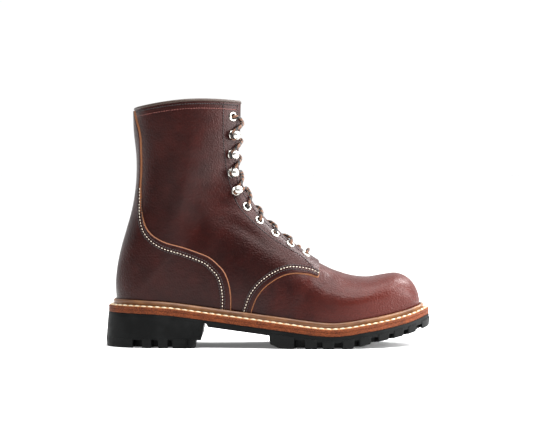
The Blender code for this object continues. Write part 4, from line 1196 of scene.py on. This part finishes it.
# Heel counter and back stay: one piece over the quarters, wide at the heel and drawn out to a narrow strip
# up the back seam, raw-edged and double-stitched.
counter = Sheet(11.0, LAST_ROW - 0.05, 12 * ROWS_PER_SECTION, COLUMNS)
counter.set("seam", seam_field(counter.points, COUNTER_SEAM))
counter.split("seam", -SKIVE, keep_below=False)
counter.split("seam", 0.0, band=1)
counter.split("seam", ROUNDING / 2)
counter.split("seam", ROUNDING)
counter_height = leather_height(counter, QUARTER_LAYER, COUNTER_LAYER)
counter_object = counter.mesh("heel_counter", counter_height, [quarter_leather, raw_edge])
placed(counter_object, "upper_leather", "upper")


# Welt: a strip of tan leather sewn all round, with a rounded rib turned up against the upper, a groove, and a
# flat ledge that carries the stitches.
WELT_SLOPE = 0.0014
RIB_HEIGHT = 0.0048
RIB_THICKNESS = 0.0026
WELT_FIT = 0.0002
RING_STEPS = 240
ring_turns = np.linspace(0, 1, RING_STEPS + 1)


def wall_reach(rise, side):
    """How far the upper stands outside the feather line at a height above the seat, for each turn."""
    turns = np.linspace(0, 1, 481)
    line = edge_point(turns, side, 0.0)
    outward = (edge_point(turns, side, 0.001) - line) / 0.001
    found = []
    for row in np.linspace(0.3, 19.0, 240):
        piece = slice_at(row)
        height = piece.points[:, 2] - seat_at(piece.points[:, 0]) - rise
        if height[-1] > 0 or height[0] < 0:
            continue
        k = int(np.nonzero(height > 0)[0][-1])
        part = height[k] / (height[k] - height[k + 1])
        x, across, _ = piece.points[k] * (1 - part) + piece.points[k + 1] * part
        place = np.array([x, piece.middle + side * across])
        j = int(np.argmin(np.linalg.norm(line - place, axis=1)))
        found.append((turns[j], (place - line[j]) @ outward[j] + float(layers_at(turns[j]))))
    found.sort()
    return np.interp(ring_turns, *zip(*found))


def all_round(inner, outer):
    return np.concatenate([inner, outer[-2:0:-1]])


foot = np.maximum(all_round(wall_reach(WELT_EDGE, INNER), wall_reach(WELT_EDGE, OUTER)), 0.0)
rib_top = WELT_SLOPE + RIB_HEIGHT
rib = all_round(wall_reach(WELT_EDGE + rib_top, INNER), wall_reach(WELT_EDGE + rib_top, OUTER))
rib = np.maximum(rib, foot) + WELT_FIT
foot = foot + WELT_FIT
lean = (foot + rib) / 2
# The strip's section, from the foot of its inner edge round by the outside: (reach, height).
WELT_PROFILE = (
    (foot, -WELT_EDGE),
    (WELT_REACH - 0.0004, -WELT_EDGE),
    (WELT_REACH, -WELT_EDGE + 0.0004),
    (WELT_REACH + 0.0001, -0.0010),
    (WELT_REACH - 0.0002, -0.0003),
    (WELT_REACH - 0.0008, 0.0001),
    (WELT_REACH - 0.0022, 0.0004),
    (foot + RIB_THICKNESS * 1.5, WELT_SLOPE * 0.75),
    (foot + RIB_THICKNESS * 1.2, WELT_SLOPE * 0.7),
    (foot + RIB_THICKNESS * 1.05, WELT_SLOPE * 0.95),
    (foot + RIB_THICKNESS * 1.08, WELT_SLOPE + 0.14 * RIB_HEIGHT),
    (lean + RIB_THICKNESS * 1.12, WELT_SLOPE + 0.40 * RIB_HEIGHT),
    (rib + RIB_THICKNESS * 1.02, WELT_SLOPE + 0.68 * RIB_HEIGHT),
    (rib + RIB_THICKNESS * 0.82, WELT_SLOPE + 0.88 * RIB_HEIGHT),
    (rib + RIB_THICKNESS * 0.5, WELT_SLOPE + 0.985 * RIB_HEIGHT),
    (rib + RIB_THICKNESS * 0.2, WELT_SLOPE + 0.96 * RIB_HEIGHT),
    (rib, WELT_SLOPE + 0.75 * RIB_HEIGHT),
)
welt_rings = []
for reach, height in WELT_PROFILE:
    flat = outline(reach, RING_STEPS)
    welt_rings.append(np.column_stack([flat, edge_at(flat[:, 0]) + height]))
welt_points, welt_faces = ring_loft(welt_rings, closed_section=True)
RIB, EDGE, LEDGE = 0, 1, 2
welt_kinds = np.repeat([EDGE] * 5 + [LEDGE] * 3 + [RIB] * 9, len(foot))

rib_leather, shader, wire = new_material("welt rib leather")
grain = noise(wire, 900, 3)
stain = noise(wire, 60, 3).between(0.35, 0.7)
connect(
    wire,
    shader,
    Base_Color=stain.colour(rgb(88, 54, 28), rgb(120, 80, 46)),
    Roughness=0.42,
    Specular_IOR_Level=0.3,
    Coat_Weight=0.2,
    Coat_Roughness=0.3,
    Normal=bump(wire, grain, 0.0003, 0.3),
)
ledge_leather = napped_leather(
    "welt ledge leather", 1100, rgb(150, 104, 62), rgb(182, 136, 90), 0.5, 0.0003, 0.35
)
welt_materials = [rib_leather, edge_leather, ledge_leather]
welt = mesh_object("welt_strip", welt_points + MIDDLE, welt_faces, welt_materials, welt_kinds)
placed(welt, "welt_leather", "welt")


# Insole: a pale leather board, 3.5 mm thick, that lies on the seat inside the upper and fills it from wall to
# wall, with its top edge eased.
INSOLE = 0.0035
INSOLE_MARGIN = 0.0022
LINING_CLEARANCE = 0.0007
insole_leather, shader, wire = new_material("insole leather")
fibre = noise(wire, 500, 3)
connect(wire, shader, Base_Color=fibre.colour(rgb(168, 128, 92), rgb(194, 156, 116)), Roughness=0.7)



def above_seat(lift):
    """A height function: so far above the seat of the last."""
    return lambda x: seat_at(x) + lift


inset = all_round(*[-(WALL + INSOLE_MARGIN + LINING_CLEARANCE) - layers_at(ring_turns)] * 2)
INSOLE_LEVELS = (
    (inset, above_seat(GAP)),
    (inset, above_seat(GAP + INSOLE * 0.8)),
    (inset - 0.0008, above_seat(GAP + INSOLE)),
)
insole = plate("insole_board", plate_rings(INSOLE_LEVELS, RING_STEPS), insole_leather)
placed(insole, "insole_leather", "insole")


# Eyelets: nickel-plated brass, pressed through the facing and rolled over, five low and one at the top of
# each side.
nickel, shader, wire = new_material("nickel plate")
smear = noise(wire, 220, 2)
connect(wire, shader, Base_Color=rgb(196, 193, 186), Metallic=1.0, Roughness=0.24 + 0.12 * smear)
FACING_TOP = QUARTER_LAYER + 0.0001
EYELET_PROFILE = (
    (0.0032, -0.0030),
    (0.0027, -0.0030),
    (0.0027, FACING_TOP + 0.0004),
    (0.0029, FACING_TOP + 0.0008),
    (0.0034, FACING_TOP + 0.0011),
    (0.0040, FACING_TOP + 0.0010),
    (0.0045, FACING_TOP + 0.0006),
    (0.0048, FACING_TOP - 0.0001),
    (0.0047, FACING_TOP - 0.0004),
    (0.0032, FACING_TOP - 0.0004),
)
ROUND_STEPS = 40
SIDE_WORDS = {INNER: "inner", OUTER: "outer"}


def turned_shape(profile, frame_at):
    """Points and faces of a shape turned about the frame's outward direction. profile: (radius, height)."""
    point, outward, up, inward = frame_at
    angles = np.linspace(0, 2 * np.pi, ROUND_STEPS, endpoint=False)
    spokes = up * np.cos(angles)[:, None] + inward * np.sin(angles)[:, None]
    rings = [point + outward * height + spokes * radius for radius, height in profile]
    return ring_loft(np.array(rings))


for (number, side), frame_at in fastener_frames.items():
    if FASTENERS[number].kind != "eyelet":
        continue
    points, faces = turned_shape(EYELET_PROFILE, frame_at)
    last = (len(EYELET_PROFILE) - 1) * ROUND_STEPS
    k = np.arange(ROUND_STEPS)
    faces += list(zip(last + k, last + (k + 1) % ROUND_STEPS, (k + 1) % ROUND_STEPS, k))
    name = f"rolled_eyelet_{number + 1:02d}_{SIDE_WORDS[side]}"
    eyelet = mesh_object(name, points + MIDDLE, faces, [nickel])
    placed(eyelet, "nickel", f"eyelet_{number + 1:02d}_{SIDE_WORDS[side]}")


# Lace hooks: a round nickel base with a neck and a bright domed cap, four up each side of the shaft, each
# held by a rivet through the facing.
HOOK_PROFILE = (
    (0.0, -0.0030),
    (0.0022, -0.0030),
    (0.0022, -0.0024),
    (0.0016, -0.0023),
    (0.0016, FACING_TOP - 0.0004),
    (0.0044, FACING_TOP - 0.0003),
    (0.0046, FACING_TOP + 0.0002),
    (0.0042, FACING_TOP + 0.0008),
    (0.0030, FACING_TOP + 0.0010),
    (0.0018, FACING_TOP + 0.0016),
    (0.0017, FACING_TOP + 0.0030),
    (0.0022, FACING_TOP + 0.0042),
    (0.0036, FACING_TOP + 0.0046),
    (0.0043, FACING_TOP + 0.0051),
    (0.0044, FACING_TOP + 0.0057),
    (0.0041, FACING_TOP + 0.0066),
    (0.0034, FACING_TOP + 0.0074),
    (0.0024, FACING_TOP + 0.0080),
    (0.0012, FACING_TOP + 0.0083),
    (0.0, FACING_TOP + 0.0084),
)
for (number, side), frame_at in fastener_frames.items():
    if FASTENERS[number].kind != "hook":
        continue
    points, faces = turned_shape(HOOK_PROFILE, frame_at)
    hook = mesh_object(f"domed_hook_{number + 1:02d}_{SIDE_WORDS[side]}", points + MIDDLE, faces, [nickel])
    placed(hook, "nickel", f"hook_{number + 1:02d}_{SIDE_WORDS[side]}")


# Collar binding: a strip of thin taupe leather rolled over the collar's raw edge, from one facing round the
# back to the other. A row of stitches just below it holds it.
BINDING_PROFILE = (
    (-WALL - 0.0013, -0.0044),
    (-WALL - 0.0016, -0.0020),
    (-WALL - 0.0014, 0.0002),
    (-WALL - 0.0005, 0.0002),
    (-WALL / 2 + 0.0002, 0.0005),
    (0.0009, 0.0004),
    (0.0020, 0.0000),
    (0.0026, -0.0008),
    (0.0026, -0.0014),
    (0.0022, -0.0021),
    (0.0016, -0.0023),
    (0.0004, -0.0023),
    (-WALL + 0.0002, -0.0040),
)


def collar_line(shares, side, drop=0.0):
    """(points, outward, up) on the wall near the collar, from the facing to the back seam."""
    top, lower = slice_at(LAST_ROW), slice_at(LAST_ROW - 0.5)
    lines = []
    for piece in (top, lower):
        start = piece.throat_start()
        lines.append(piece.at(start + (piece.lengths[-1] - start) * shares, side))
    up = lines[0] - lines[1]
    up /= np.linalg.norm(up, axis=1, keepdims=True)
    outward = np.cross(np.gradient(lines[0], axis=0), up) * side
    if shares[-1] == 1:
        outward[-1, 1] = 0
    outward /= np.linalg.norm(outward, axis=1, keepdims=True)
    return lines[0] - up * drop, outward, up


binding_leather = napped_leather(
    "binding leather",
    1000,
    rgb(40, 29, 24),
    rgb(62, 46, 38),
    0.42,
    0.0003,
    0.3,
    Specular_IOR_Level=0.25,
)
collar_shares = np.linspace(0, 1, 80)
binding_rings = []
for side, order in ((INNER, slice(None)), (OUTER, slice(-2, None, -1))):
    points, outward, up = (part[order] for part in collar_line(collar_shares, side))
    for point, out, rise in zip(points, outward, up):
        binding_rings.append([point + out * across + rise * height for across, height in BINDING_PROFILE])
binding_points, binding_faces = ring_loft(binding_rings)
binding_faces += end_caps(len(BINDING_PROFILE), len(binding_rings))
binding = mesh_object("rolled_binding", binding_points + MIDDLE, binding_faces, [binding_leather])
placed(binding, "binding_leather", "collar_binding")


# Tongue: soft leather of the upper's kind behind the laces, from under the vamp to just below the collar. The
# laces press it in a little.
TONGUE = 0.0024
TONGUE_WIDTH = 0.062
THROAT_BULGE = 0.0016


def throat_place(row, length, height):
    """A point over the facings, or over the throat, where it runs nearly straight from edge to edge.

    length: from the crest, above 0 on the inner side.
    """
    edge = slice_at(row).throat_start()
    if abs(length) >= edge:
        point, outward, _, _ = facing_frame(row, max(abs(length), 0.0006), INNER if length > 0 else OUTER)
        return point + outward * height
    ends = [facing_frame(row, edge, side) for side in (OUTER, INNER)]
    share = length / edge
    middle = ends[0][1] + ends[1][1]
    middle /= np.linalg.norm(middle)
    out = ends[0][1] * (0.5 - share / 2) + ends[1][1] * (0.5 + share / 2)
    chord = ends[0][0] * (0.5 - share / 2) + ends[1][0] * (0.5 + share / 2)
    bulge = THROAT_BULGE * float(ease((row - 12.5) / 4)) * (1 - share**2)
    return chord + out / np.linalg.norm(out) * height + middle * bulge


TONGUE_FOOT_ROW = 9.0
tongue_rings = []
for row in np.linspace(TONGUE_FOOT_ROW, LAST_ROW - 0.55, 90):
    reach = TONGUE_WIDTH / 2 * (0.72 + 0.28 * float(ease((row - TONGUE_FOOT_ROW) / 8)))
    places = reach * np.linspace(-1, 1, 33)
    sunk = -WALL - 0.0009 - 0.0026 * float(ease((row - 10.4) / 1.2))
    over = [throat_place(row, place, sunk) for place in places]
    under = [throat_place(row, place, sunk - TONGUE) for place in places]
    tongue_rings.append(over + under[::-1])
tongue_points, tongue_faces = ring_loft(tongue_rings)
width = len(tongue_rings[0])
half = width // 2
for base in (0, len(tongue_points) - width):
    for i in range(half - 1):
        tongue_faces.append((base + i, base + i + 1, base + width - 2 - i, base + width - 1 - i))
tongue = mesh_object("tongue_leather", tongue_points + MIDDLE, tongue_faces, [quarter_leather])
placed(tongue, "upper_leather", "tongue")


# Laces: one round twisted lace in brown and black. It starts as a bar at the lowest eyelets, comes out of
# each eyelet over the throat, passes under the other facing, then crosses up the hooks to the top eyelets.
LACE = 0.0028
LACE_SIDES = 12
TWIST_PITCH = 0.0095
REST = FACING_TOP + LACE / 2 + 0.0002
UNDER = -WALL - LACE / 2 - 0.0002
AROUND_NECK = 0.0017 + LACE / 2
ROW_SPACING = 0.0145


def lace_route(first_side):
    """The places of one strand from the bottom bar to the top eyelet."""
    route = []
    side = first_side
    row, length = fastener_places[0]
    for share in (0.02, 0.35, 0.75):
        route.append((row, side * share * length, REST + 0.0009 + 0.0009 * (1 - share)))
    for height in (FACING_TOP + 0.0016, 0.0, UNDER):
        route.append((row, side * length, height))
    for number in range(1, len(FASTENERS)):
        last_row, last_length = row, length
        row, length = fastener_places[number]
        kind, last_kind = FASTENERS[number].kind, FASTENERS[number - 1].kind
        rise = row - last_row
        edge = slice_at(last_row).throat_start()
        over = (number % 2 == 0) == (first_side == INNER)
        middle = REST - (0.0010 if over else 0.0038)
        turn = AROUND_NECK / ROW_SPACING
        if number > 1 and last_kind == "eyelet":
            route += [
                (last_row, side * last_length, FACING_TOP + 0.0014),
                (last_row + 0.06 * rise, side * (last_length - 0.0028), REST + 0.0011),
                (last_row + 0.22 * rise, side * (edge + 0.001), REST + 0.0005),
            ]
        elif number > 1:
            route.append((last_row + turn + 0.1 * rise, side * (edge + 0.0012), REST + 0.0003))
        elif number == 1:
            route.append((last_row + 0.3 * rise, side * edge * 0.8, UNDER * 0.6))
        route.append((last_row + 0.5 * rise, 0.001 * side, middle))
        side = -side
        if kind == "eyelet" and number < len(FASTENERS) - 1:
            route += [
                (last_row + 0.72 * rise, side * edge * 0.82, -WALL * 0.5),
                (last_row + 0.86 * rise, side * (edge + 0.0032), UNDER),
                (row, side * length, UNDER),
                (row, side * length, 0.0),
            ]
        elif kind == "hook":
            height = FACING_TOP + 0.0010 + LACE / 2
            route += [
                (row - turn - 0.1 * rise, side * (edge + 0.0012), REST),
                (row - turn, side * (length - 0.0012), height),
                (row - 0.62 * turn, side * (length + 0.8 * AROUND_NECK), height),
                (row, side * (length + 1.05 * AROUND_NECK), height),
                (row + 0.62 * turn, side * (length + 0.8 * AROUND_NECK), height),
                (row + turn, side * (length - 0.0012), height),
            ]
        else:
            route += [
                (row - 0.2 * rise, side * (edge + 0.001), REST + 0.0006),
                (row, side * (length - 0.0022), REST + 0.0010),
                (row, side * length, FACING_TOP + 0.0008),
                (row, side * length, -0.0012),
                (row, side * (length + 0.001), UNDER - 0.0006),
            ]
    return np.array([throat_place(*place) for place in route])


def smooth_path(points, step):
    """A curve through the points, with corners set evenly apart."""
    gaps = np.linalg.norm(np.diff(points, axis=0), axis=1)
    places = np.concatenate([[0.0], np.cumsum(np.maximum(gaps, 1e-5))])
    fine = np.linspace(0, places[-1], int(places[-1] / step))
    return np.column_stack([smooth_curve(places, points[:, k])(fine) for k in range(3)])


cord, shader, wire = new_material("twisted lace")
uv = wire.add("ShaderNodeUVMap", {"uv_map": "UVMap"})
parts = wire.tree.nodes.new("ShaderNodeSeparateXYZ")
wire.tree.links.new(uv.socket, parts.inputs[0])
run, turn = Wire(wire.tree, parts.outputs[0]), Wire(wire.tree, parts.outputs[1])
phase = run * (1 / TWIST_PITCH) + turn
wave = wire.add("ShaderNodeMath", {"operation": "SINE"}, _0=phase * (2 * math.pi))
strand = wave.between(-0.12, 0.12)
weave = wire.add("ShaderNodeMath", {"operation": "SINE"}, _0=phase * (12 * math.pi) + run * 5200)
fuzz = noise(wire, 2400, 2)
connect(
    wire,
    shader,
    Base_Color=(strand * 0.85 + fuzz * 0.15).colour(rgb(24, 28, 30), rgb(104, 68, 46)),
    Roughness=0.72,
    Normal=bump(wire, weave * 0.5 + fuzz, 0.0004, 0.4),
)


def lace_tube(path):
    """(points, faces, uv) of a round lace of two strands twisted together."""
    runs = np.gradient(path, axis=0)
    runs /= np.linalg.norm(runs, axis=1, keepdims=True)
    places = np.concatenate([[0.0], np.cumsum(np.linalg.norm(np.diff(path, axis=0), axis=1))])
    across = np.array([0.0, 1.0, 0.0])
    angles = 2 * np.pi * np.arange(LACE_SIDES + 1) / LACE_SIDES
    rings, uvs = [], []
    for point, ahead, place in zip(path, runs, places):
        across = across - ahead * (across @ ahead)
        across /= np.linalg.norm(across)
        other = np.cross(ahead, across)
        twist = angles + 2 * np.pi * place / TWIST_PITCH
        radius = LACE / 2 * (0.93 + 0.07 * np.cos(2 * twist))
        spokes = across * np.cos(angles)[:, None] + other * np.sin(angles)[:, None]
        rings.append(point + spokes * radius[:, None])
        uvs.append(np.column_stack([np.full(len(angles), place), angles / (2 * np.pi)]))
    wide = LACE_SIDES + 1
    faces = [
        (i * wide + k, i * wide + k + 1, (i + 1) * wide + k + 1, (i + 1) * wide + k)
        for i in range(len(path) - 1)
        for k in range(LACE_SIDES)
    ]
    return np.array(rings).reshape(-1, 3), faces, np.array(uvs).reshape(-1, 2)


lace_parts = [lace_tube(smooth_path(lace_route(side), 0.0005)) for side in (INNER, OUTER)]
first_count = len(lace_parts[0][0])
lace_mesh = bpy.data.meshes.new("twisted_laces")
lace_mesh.from_pydata(
    (np.concatenate([part[0] for part in lace_parts]) + MIDDLE).tolist(),
    [],
    lace_parts[0][1] + [tuple(i + first_count for i in face) for face in lace_parts[1][1]],
)
lace_mesh.materials.append(cord)
write_uv(lace_mesh, np.concatenate([part[2] for part in lace_parts]))
lace_mesh.shade_smooth()
placed(in_scene("twisted_laces", lace_mesh), "lace", "laces")


# Stitches: lockstitch thread laid along each seam as a run of short raised grains, set by a node tree: thick
# cream thread round the welt, white and dark rows beside the raw edges, dark rows on the facings and collar.
# The dark rows' near-black colour is partly painted shade: it also stands for the shade in the stitch
# grooves.
def stitch_tree():
    tree = bpy.data.node_groups.new("stitch run", "GeometryNodeTree")
    for name, kind in (
        ("Geometry", "NodeSocketGeometry"),
        ("Pitch", "NodeSocketFloat"),
        ("Length", "NodeSocketFloat"),
        ("Thickness", "NodeSocketFloat"),
        ("Thread", "NodeSocketMaterial"),
    ):
        tree.interface.new_socket(name, in_out="INPUT", socket_type=kind)
    tree.interface.new_socket("Geometry", in_out="OUTPUT", socket_type="NodeSocketGeometry")
    wire = Wire(tree)
    source = tree.nodes.new("NodeGroupInput")
    given = {socket.name: Wire(tree, socket) for socket in source.outputs if socket.name}
    line = wire.add("GeometryNodeMeshToCurve", Mesh=given["Geometry"])
    line = wire.add("GeometryNodeResampleCurve", {"mode": "LENGTH"}, Curve=line, Length=given["Pitch"])
    out = wire.add("GeometryNodeInputNamedAttribute", {"data_type": "FLOAT_VECTOR"}, Name="out")
    tangent = wire.add("GeometryNodeInputTangent")
    axes = {"primary_axis": "X", "secondary_axis": "Z"}
    turn = wire.add("FunctionNodeAxesToRotation", axes, _0=tangent, _1=out)
    grain = wire.add("GeometryNodeMeshUVSphere", Segments=8, Rings=5, Radius=0.5)
    size = wire.add("ShaderNodeCombineXYZ", _0=given["Length"], _1=given["Thickness"], _2=given["Thickness"])
    run = wire.add("GeometryNodeInstanceOnPoints", Points=line, Instance=grain, Rotation=turn, Scale=size)
    made = wire.add("GeometryNodeRealizeInstances", _0=run)
    made = wire.add("GeometryNodeSetShadeSmooth", _0=made)
    made = wire.add("GeometryNodeSetMaterial", Geometry=made, Material=given["Thread"])
    end = tree.nodes.new("NodeGroupOutput")
    tree.links.new(made.socket, end.inputs[0])
    return tree


stitch_nodes = stitch_tree()


def stitched(name, lines, thread, stitch):
    """One object with a stitch run along each line. lines: (points, outward directions)."""
    points, edges, outs = [], [], []
    for line, out in lines:
        edges += [(len(points) + i, len(points) + i + 1) for i in range(len(line) - 1)]
        points += list(np.asarray(line))
        outs += list(np.asarray(out))
    mesh = bpy.data.meshes.new(name)
    mesh.from_pydata((np.array(points) + MIDDLE).tolist(), edges, [])
    mesh.attributes.new("out", "FLOAT_VECTOR", "POINT").data.foreach_set("vector", np.array(outs).ravel())
    made = in_scene(name, mesh)
    change = made.modifiers.new("stitches", "NODES")
    change.node_group = stitch_nodes
    given = {"Pitch": stitch.pitch, "Length": stitch.length, "Thickness": stitch.thickness, "Thread": thread}
    for socket in stitch_nodes.interface.items_tree:
        if socket.in_out == "INPUT" and socket.name in given:
            change[socket.identifier] = given[socket.name]
    baked = bpy.data.meshes.new_from_object(made.evaluated_get(bpy.context.evaluated_depsgraph_get()))
    made.modifiers.clear()
    made.data = baked
    return made


def surface_line(made, places, side, lift):
    """The places (x, z) put on an object's surface as seen from that side, with the outward directions."""
    mesh = made.data
    tree = BVHTree.FromPolygons([v.co for v in mesh.vertices], [p.vertices for p in mesh.polygons])
    points, outs = [], []
    for x, z in places:
        hit, normal, _, _ = tree.ray_cast(Vector((x + MIDDLE[0], side * 0.2, z)), Vector((0, -side, 0)))
        if hit is None:
            continue
        normal = normal if normal.y * side > 0 else -normal
        points.append(np.array(hit) + np.array(normal) * lift - MIDDLE)
        outs.append(np.array(normal))
    return points, outs


def seam_row(seam, first, last, offsets):
    """A line inside a seam in the side view. offsets: (seam point's number, distance) pairs."""
    fine = np.linspace(first, last, 160)
    x, z = seam_line(seam, fine)
    away = np.interp(fine, *zip(*offsets))
    run = np.column_stack([np.gradient(x), np.gradient(z)])
    run /= np.linalg.norm(run, axis=1, keepdims=True)
    return np.column_stack([x + run[:, 1] * away, z - run[:, 0] * away])


def thread_material(name, colour):
    made, shader, wire = new_material(name)
    strands = noise(wire, 3000, 2)
    connect(wire, shader, Base_Color=colour, Roughness=0.6, Normal=bump(wire, strands, 0.0003, 0.3))
    return made


cream_thread = thread_material("cream thread", rgb(214, 200, 172))
white_thread = thread_material("white thread", rgb(206, 196, 178))
# Near-black thread for the dark rows, partly painted shade: its colour also stands for the shade in the
# stitch grooves.
near_black_thread_and_groove_shade = thread_material("dark thread and painted groove shade", rgb(22, 8, 9))
red_thread = thread_material("red-brown thread", rgb(120, 66, 60))
Stitch = namedtuple("Stitch", "pitch length thickness")
WELT_STITCH = Stitch(0.0066, 0.0051, 0.0015)
WHITE_STITCH = Stitch(0.0031, 0.0020, 0.0009)
DARK_STITCH = Stitch(0.0024, 0.0021, 0.0012)
RED_STITCH = Stitch(0.0026, 0.0019, 0.0007)

welt_line = outline(WELT_REACH - 0.0023, RING_STEPS)
welt_line = np.column_stack([welt_line, edge_at(welt_line[:, 0]) + 0.0007])
welt_line = np.vstack([welt_line, welt_line[:1]])
welt_out = np.tile([0.0, 0.0, 1.0], (len(welt_line), 1))
welt_stitches = stitched("welt_stitches", [(welt_line, welt_out)], cream_thread, WELT_STITCH)
placed(welt_stitches, "lace")

# How far the middle row lies inside each seam: (number of the seam's point, distance).
COUNTER_OFFSETS = (
    (1, 0.0016),
    (4, 0.0020),
    (6, 0.0028),
    (8, 0.0045),
    (10, 0.0058),
    (12, 0.0062),
    (14, 0.0070),
    (18.8, 0.0082),
)
QUARTER_OFFSETS = (
    (4, 0.0040),
    (5, 0.0044),
    (6, 0.0052),
    (8, 0.0064),
    (16.6, 0.0066),
)
THREAD_LIFT = 0.0001
LOW_THREAD_LIFT = 0.00005
OUTER_ROW, INNER_ROW = -0.0021, 0.0017
white_lines, thread_and_groove_shade_lines, red_lines = [], [], []
for side in (INNER, OUTER):
    for aside, lines in ((0.0, white_lines), (OUTER_ROW, thread_and_groove_shade_lines), (INNER_ROW, thread_and_groove_shade_lines)):
        moved = [(place, distance + aside) for place, distance in COUNTER_OFFSETS]
        places = seam_row(COUNTER_SEAM, 5.2, 18.8, moved)
        lines.append(surface_line(counter_object, places, side, THREAD_LIFT))
        moved = [(place, distance + aside) for place, distance in QUARTER_OFFSETS]
        places = seam_row(QUARTER_SEAM, 4.6, 16.6, moved)
        lines.append(surface_line(quarters_object, places, side, THREAD_LIFT))

# Stitch line behind the facing, in the side view.
FACING_ROW = (
    Seam(0.351, 0.982),
    Seam(0.351, 0.849),
    Seam(0.357, 0.765),
    Seam(0.365, 0.701),
    Seam(0.381, 0.632),
    Seam(0.404, 0.568),
    Seam(0.457, 0.499),
    Seam(0.513, 0.442),
    Seam(0.571, 0.397),
    Seam(0.611, 0.366),
    Seam(0.657, 0.309),
)
FACING_EDGE_ROW = 0.0022
DARK_COLLAR_DROP = 0.0044
RED_COLLAR_DROP = 0.0088
for side in (INNER, OUTER):
    places = seam_row(FACING_ROW, 0, len(FACING_ROW) - 1, ((0, 0.0), (1, 0.0)))
    thread_and_groove_shade_lines.append(surface_line(quarters_object, places, side, LOW_THREAD_LIFT))
    line = []
    for row in np.linspace(THROAT_ROW + 0.35, LAST_ROW - 0.28, 200):
        line.append(slice_at(row).at(slice_at(row).throat_start() + FACING_EDGE_ROW, side)[[0, 2]])
    thread_and_groove_shade_lines.append(surface_line(quarters_object, line, side, LOW_THREAD_LIFT))
    for drop, lines in ((DARK_COLLAR_DROP, thread_and_groove_shade_lines), (RED_COLLAR_DROP, red_lines)):
        points, outward, _ = collar_line(np.linspace(0.03, 0.955, 200), side, drop)
        lines.append((points + outward * (QUARTER_LAYER + THREAD_LIFT), outward))
placed(stitched("white_seam_stitches", white_lines, white_thread, WHITE_STITCH), "lace")
# The dark rows are thread with painted groove shade in their near-black colour.
placed(stitched("dark_seam_stitches_and_groove_shade", thread_and_groove_shade_lines, near_black_thread_and_groove_shade, DARK_STITCH), "lace")
placed(stitched("collar_stitches", red_lines, red_thread, RED_STITCH), "lace")


# Floor, lights and camera: a pale studio floor, a room that is bright at the back, soft lights from above, in
# front and mostly the toe's side, and the photo's view.
floor_mesh = bpy.data.meshes.new("floor")
floor_mesh.from_pydata([(-30, -8, 0), (30, -8, 0), (30, 60, 0), (-30, 60, 0)], [], [(0, 1, 2, 3)])
paper, shader, wire = new_material("white paper")
connect(
    wire,
    shader,
    Base_Color=(0.86, 0.86, 0.86, 1.0),
    Roughness=0.9,
    Specular_IOR_Level=0.0,
    Emission_Color=(1.0, 1.0, 1.0, 1.0),
    Emission_Strength=0.12,
)
floor_mesh.materials.append(paper)
floor = in_scene("floor", floor_mesh)

world = bpy.data.worlds.new("studio")
bpy.context.scene.world = world
world.use_nodes = True
# The room grows from nearly dark on the camera's side to white behind the boot.
room = Wire(world.node_tree)
towards = room.add("ShaderNodeSeparateXYZ", output=1, _0=room.add("ShaderNodeTexCoord", output=0))
glow = 0.08 + 0.94 * towards.between(-0.2, 0.40)
background = world.node_tree.nodes["Background"]
background.inputs["Color"].default_value = (1.0, 1.0, 1.0, 1.0)
world.node_tree.links.new(glow.socket, background.inputs["Strength"])


def soft_light(name, place, target, size, power):
    light = bpy.data.lights.new(name, "AREA")
    light.shape = "RECTANGLE"
    light.size, light.size_y = size
    light.energy = power
    made = in_scene(name, light)
    made.location = place
    made.rotation_euler = (Vector(target) - Vector(place)).to_track_quat("-Z", "Y").to_euler()


soft_light("overhead", (0.15, -0.05, 1.4), (0.0, 0.0, 0.1), (0.8, 0.6), 11)
soft_light("front left", (-1.2, -1.0, 0.9), (0.0, 0.0, 0.12), (0.5, 1.0), 3)
soft_light("right", (1.4, -0.1, 0.45), (0.0, 0.0, 0.12), (0.5, 0.9), 30)
soft_light("right high", (1.0, -0.25, 1.1), (0.0, 0.0, 0.12), (0.5, 0.5), 18)
soft_light("top front", (0.3, -0.8, 1.4), (0.05, 0.0, 0.08), (0.8, 0.5), 20)
soft_light("right rear", (1.1, 0.9, 1.2), (0.0, 0.0, 0.12), (0.7, 0.7), 28)
sky_light = bpy.data.lights.new("ceiling", "SUN")
sky_light.energy = 1.9
sky_light.angle = math.radians(55)
in_scene("ceiling", sky_light)

CAMERA_DISTANCE = 2.2
CAMERA_HEIGHT = 0.170
CAMERA_ASIDE = -0.00194
CAMERA_PITCH = 1.32
camera_data = bpy.data.cameras.new("camera")
camera_data.sensor_width = 36.0
camera_data.lens = 153.2
camera = in_scene("camera", camera_data)
camera.location = (CAMERA_ASIDE, -CAMERA_DISTANCE, CAMERA_HEIGHT)
camera.rotation_euler = (math.radians(90 - CAMERA_PITCH), 0.0, 0.0)
bpy.context.scene.camera = camera
bpy.context.scene.view_settings.view_transform = "Standard"
